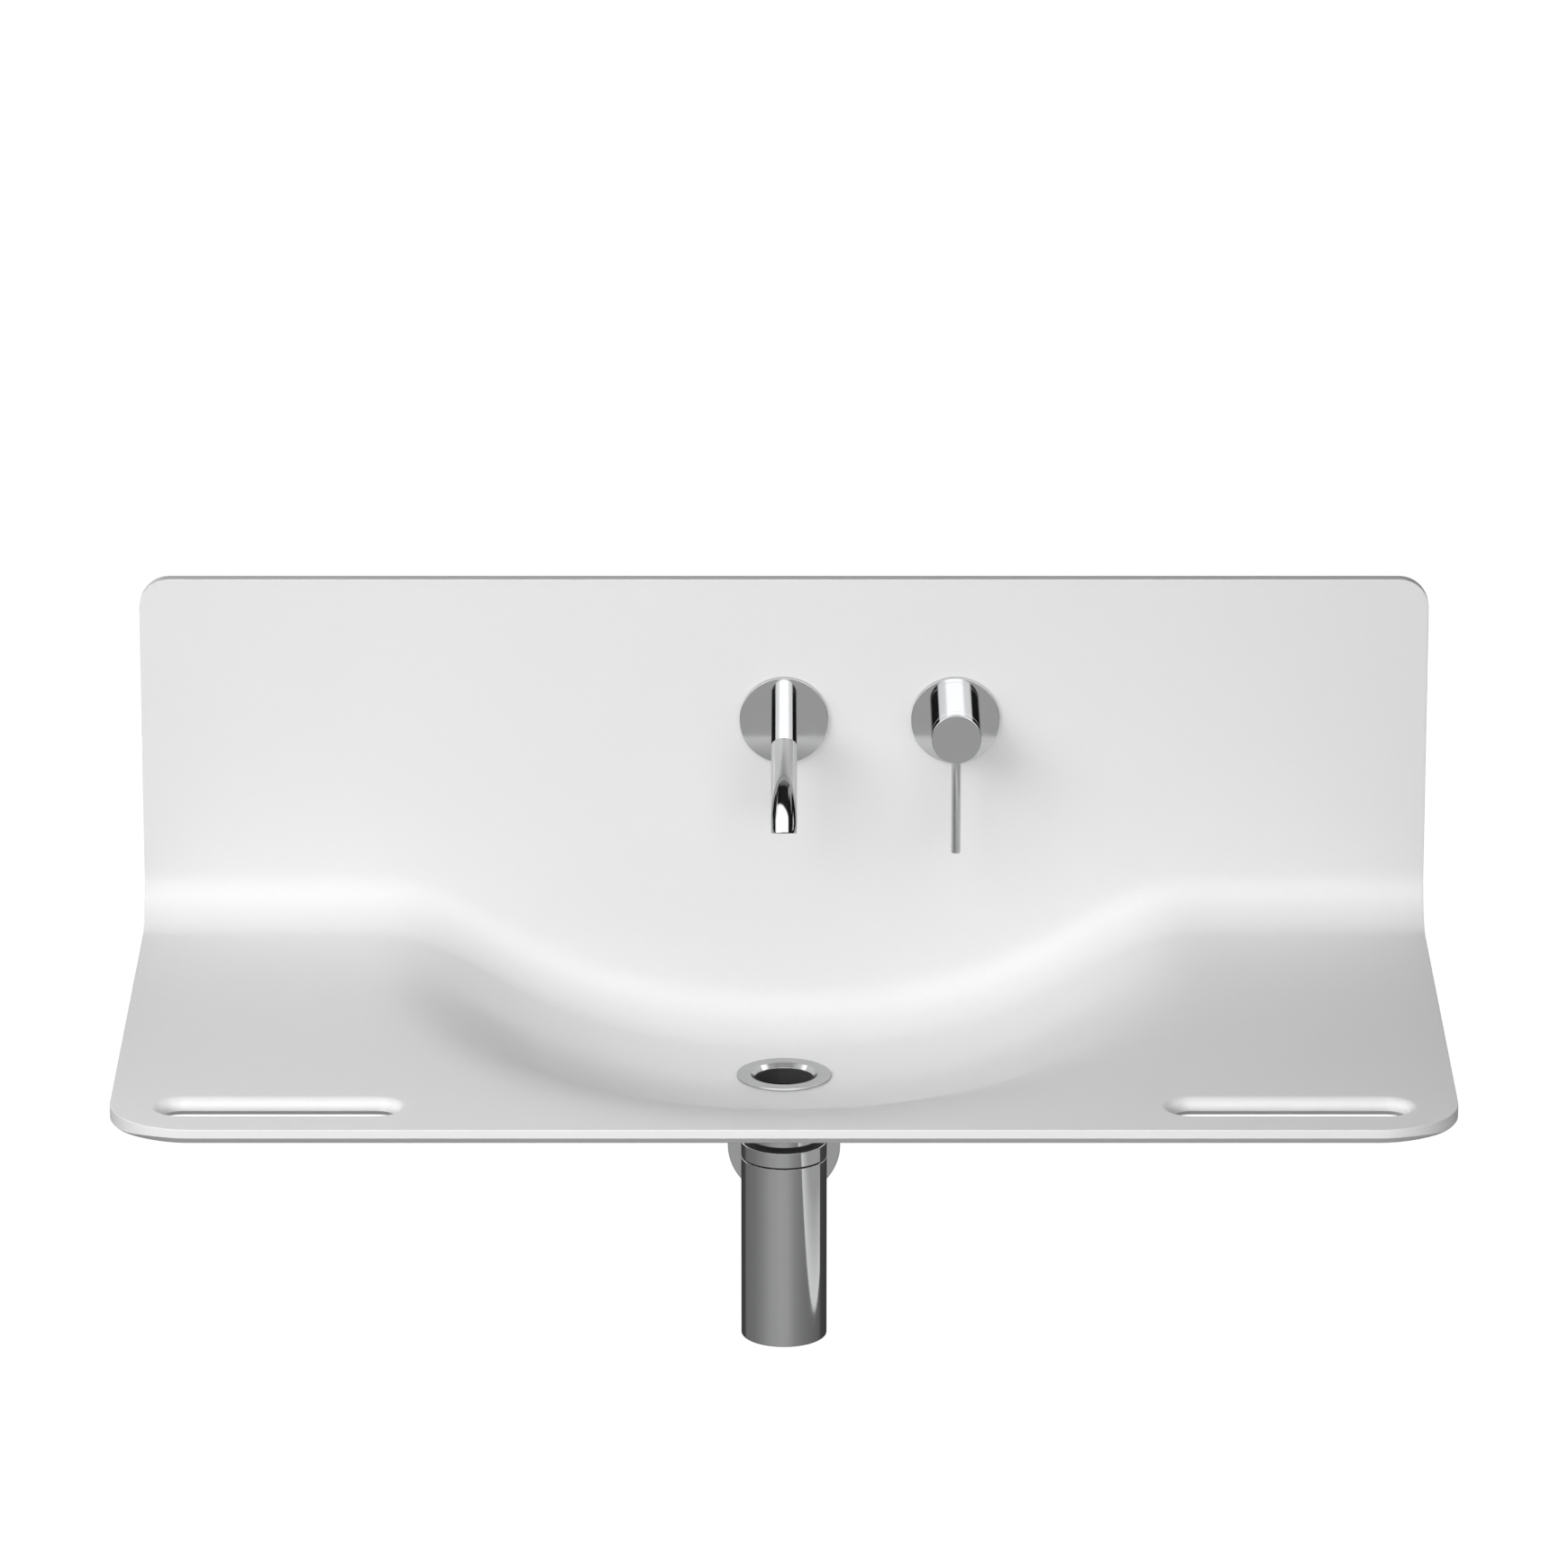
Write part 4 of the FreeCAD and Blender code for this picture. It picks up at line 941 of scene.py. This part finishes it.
def world():
    w = bpy.data.worlds.new("studio")
    bpy.context.scene.world = w
    w.use_nodes = True
    w.cycles.sampling_method = "NONE"
    nt = w.node_tree
    nt.nodes.clear()
    out = nt.nodes.new("ShaderNodeOutputWorld")
    path = nt.nodes.new("ShaderNodeLightPath")
    white = nt.nodes.new("ShaderNodeBackground")
    white.inputs["Color"].default_value = (1, 1, 1, 1)
    white.inputs["Strength"].default_value = 1.05
    soft = nt.nodes.new("ShaderNodeBackground")
    soft.inputs["Strength"].default_value = 1.0
    coord = nt.nodes.new("ShaderNodeTexCoord")
    sep = nt.nodes.new("ShaderNodeSeparateXYZ")
    nt.links.new(coord.outputs["Generated"], sep.inputs["Vector"])
    # height of the direction, from straight down at 0 to straight up at 1
    up = nt.nodes.new("ShaderNodeMapRange")
    up.inputs["From Min"].default_value = -1.0
    up.inputs["From Max"].default_value = 1.0
    nt.links.new(sep.outputs["Z"], up.inputs["Value"])

    def at(deg):
        return 0.5 + 0.5 * math.sin(math.radians(deg))

    dim = ramp(nt, up.outputs["Result"], [(at(-90), 0.03), (at(-50), 0.06), (at(-25), 0.22), (at(-10), 0.32), (at(-1), 0.34), (at(1), 0.01), (at(90), 0.01)])
    nt.links.new(dim.outputs["Color"], soft.inputs["Color"])

    # way round the room: 0.5 in front, more to the right, less to the left
    flip = nt.nodes.new("ShaderNodeMath")
    flip.operation = "MULTIPLY"
    flip.inputs[1].default_value = -1.0
    nt.links.new(sep.outputs["Y"], flip.inputs[0])
    angle = nt.nodes.new("ShaderNodeMath")
    angle.operation = "ARCTAN2"
    nt.links.new(sep.outputs["X"], angle.inputs[0])
    nt.links.new(flip.outputs["Value"], angle.inputs[1])
    around = nt.nodes.new("ShaderNodeMapRange")
    around.inputs["From Min"].default_value = -math.pi
    around.inputs["From Max"].default_value = math.pi
    nt.links.new(angle.outputs["Value"], around.inputs["Value"])

    def way(deg):
        return 0.5 + deg / 360.0

    # the floor in front, as polished metal shows it: brightest straight ahead
    low = ramp(nt, around.outputs["Result"], [
        (way(-170), 0.07), (way(-132), 0.09), (way(-122), 0.21), (way(-88), 0.23), (way(-60), 0.31), (way(-38), 0.41), (way(-8), 0.47),
        (way(10), 0.44), (way(30), 0.32), (way(44), 0.27), (way(60), 0.23), (way(110), 0.15), (way(120), 0.08), (way(170), 0.07)])
    # light boxes above the horizon, brighter in front than at the sides
    high = ramp(nt, around.outputs["Result"], [
        (way(-162), 0.20), (way(-145), 1.0), (way(-104), 1.0), (way(-78), 0.45), (way(-25), 1.0), (way(25), 1.0), (way(70), 0.35), (way(92), 1.0), (way(132), 1.0), (way(150), 0.15)])
    box = ramp(nt, up.outputs["Result"], [
        (at(1.5), 0.0), (at(3.5), 0.60), (at(12.0), 0.66), (at(14.0), 1.0), (at(44.0), 1.0), (at(58.0), 0.19)])
    ground = ramp(nt, up.outputs["Result"], [
        (at(-70), 0.7), (at(-30), 1.0), (at(-15.5), 1.0), (at(-12.5), 0.04), (at(1.5), 0.04), (at(3.5), 0.0)])

    def times(a, b):
        m = nt.nodes.new("ShaderNodeMix")
        m.data_type = "RGBA"
        m.blend_type = "MULTIPLY"
        m.inputs["Factor"].default_value = 1.0
        nt.links.new(a, m.inputs["A"])
        nt.links.new(b, m.inputs["B"])
        return m.outputs["Result"]

    below = nt.nodes.new("ShaderNodeBackground")
    nt.links.new(times(low.outputs["Color"], ground.outputs["Color"]), below.inputs["Color"])
    above = nt.nodes.new("ShaderNodeBackground")
    above.inputs["Strength"].default_value = 2.7
    nt.links.new(times(high.outputs["Color"], box.outputs["Color"]), above.inputs["Color"])
    rear = ramp(nt, around.outputs["Result"], [(way(-150), 1.0), (way(-128), 0.0), (way(128), 0.0), (way(150), 1.0)])
    band = ramp(nt, up.outputs["Result"], [(at(-16.0), 0.0), (at(-14.5), 1.0), (at(2.0), 1.0), (at(12.0), 0.3)])
    behind = nt.nodes.new("ShaderNodeBackground")
    behind.inputs["Strength"].default_value = 0.5
    nt.links.new(times(rear.outputs["Color"], band.outputs["Color"]), behind.inputs["Color"])
    both = nt.nodes.new("ShaderNodeAddShader")
    nt.links.new(below.outputs["Background"], both.inputs[0])
    nt.links.new(behind.outputs["Background"], both.inputs[1])
    room = nt.nodes.new("ShaderNodeAddShader")
    nt.links.new(both.outputs["Shader"], room.inputs[0])
    nt.links.new(above.outputs["Background"], room.inputs[1])
    m1 = nt.nodes.new("ShaderNodeMixShader")
    nt.links.new(path.outputs["Is Glossy Ray"], m1.inputs["Fac"])
    nt.links.new(soft.outputs["Background"], m1.inputs[1])
    nt.links.new(room.outputs["Shader"], m1.inputs[2])
    m2 = nt.nodes.new("ShaderNodeMixShader")
    nt.links.new(path.outputs["Is Camera Ray"], m2.inputs["Fac"])
    nt.links.new(m1.outputs["Shader"], m2.inputs[1])
    nt.links.new(white.outputs["Background"], m2.inputs[2])
    nt.links.new(m2.outputs["Shader"], out.inputs["Surface"])


world()


def area(name, place, aim, size, power, glossy=False):
    data = bpy.data.lights.new(name, "AREA")
    data.shape = "RECTANGLE"
    data.size, data.size_y = size
    data.energy = power
    ob = bpy.data.objects.new(name, data)
    bpy.context.scene.collection.objects.link(ob)
    ob.location = place
    ob.rotation_euler = (Vector(aim) - Vector(place)).to_track_quat("-Z", "Y").to_euler()
    ob.visible_camera = False
    ob.visible_glossy = glossy
    return ob


def panel(name, x, y0, y1, z0, z1, strength0, strength1):
    """An upright light panel beside the object, seen only in polished metal, fading upwards."""
    me = bpy.data.meshes.new(name)
    me.from_pydata([(x, y0, z0), (x, y1, z0), (x, y1, z1), (x, y0, z1)], [], [(0, 1, 2, 3)])
    me.update()
    ob = bpy.data.objects.new(name, me)
    bpy.context.scene.collection.objects.link(ob)
    mat = bpy.data.materials.new(name)
    mat.use_nodes = True
    nt = mat.node_tree
    nt.nodes.clear()
    out = nt.nodes.new("ShaderNodeOutputMaterial")
    emit = nt.nodes.new("ShaderNodeEmission")
    coord = nt.nodes.new("ShaderNodeTexCoord")
    sep = nt.nodes.new("ShaderNodeSeparateXYZ")
    fade = nt.nodes.new("ShaderNodeMapRange")
    fade.inputs["From Min"].default_value = z0
    fade.inputs["From Max"].default_value = z0 + 0.10
    fade.inputs["To Min"].default_value = strength0
    fade.inputs["To Max"].default_value = strength1
    nt.links.new(coord.outputs["Object"], sep.inputs["Vector"])
    nt.links.new(sep.outputs["Z"], fade.inputs["Value"])
    nt.links.new(fade.outputs["Result"], emit.inputs["Strength"])
    nt.links.new(emit.outputs["Emission"], out.inputs["Surface"])
    me.materials.append(mat)
    ob.visible_camera = False
    ob.visible_diffuse = False
    ob.visible_shadow = False
    ob.visible_transmission = False
    return ob


panel("side_box", 1.04, -1.15, 0.32, -0.637, -0.15, 0.92, 0.46)
area("key", (-1.545, -2.042, 1.622), (0.0, -0.2, 0.0), (1.8, 1.4), 26.2)
area("side", (-2.259, -1.022, 1.622), (0.0, -0.2, 0.0), (1.8, 1.4), 16.2)
area("front", (0.970, -2.865, 0.603), (0.0, -0.2, 0.0), (1.8, 1.4), 14.8)
area("wide", (-0.3, -2.2, 1.5), (0.0, -0.2, 0.0), (4.0, 2.6), 27.6)
area("strip", (0.0, -0.85, 0.12), (0.0, -0.45, 0.0), (1.4, 0.12), 1.1)
area("top", (-0.9, -0.9, 2.1), (0.0, -0.3, 0.0), (2.0, 1.6), 5.0)
area("back", (0.0, 2.0, -0.2), (0.0, 0.0, 0.0), (1.8, 0.5), 19.0)
area("under", (0.0, 1.0, -1.25), (0.0, -0.2, 0.0), (1.8, 0.8), 20.0)

scene = bpy.context.scene
scene.view_settings.view_transform = "Standard"
scene.view_settings.look = "None"

cam_data = bpy.data.cameras.new("camera")
cam = bpy.data.objects.new("camera", cam_data)
scene.collection.objects.link(cam)
cam.location = (0.0, -6.5278, 2.1772)
cam.rotation_euler = (math.radians(72.325), 0.0, 0.0)
cam_data.sensor_width = 36.0
cam_data.lens = 36.0 * 10815.0 / 1740.0
cam_data.clip_start = 0.05
cam_data.clip_end = 100.0
cam_data.dof.use_dof = False
scene.camera = cam
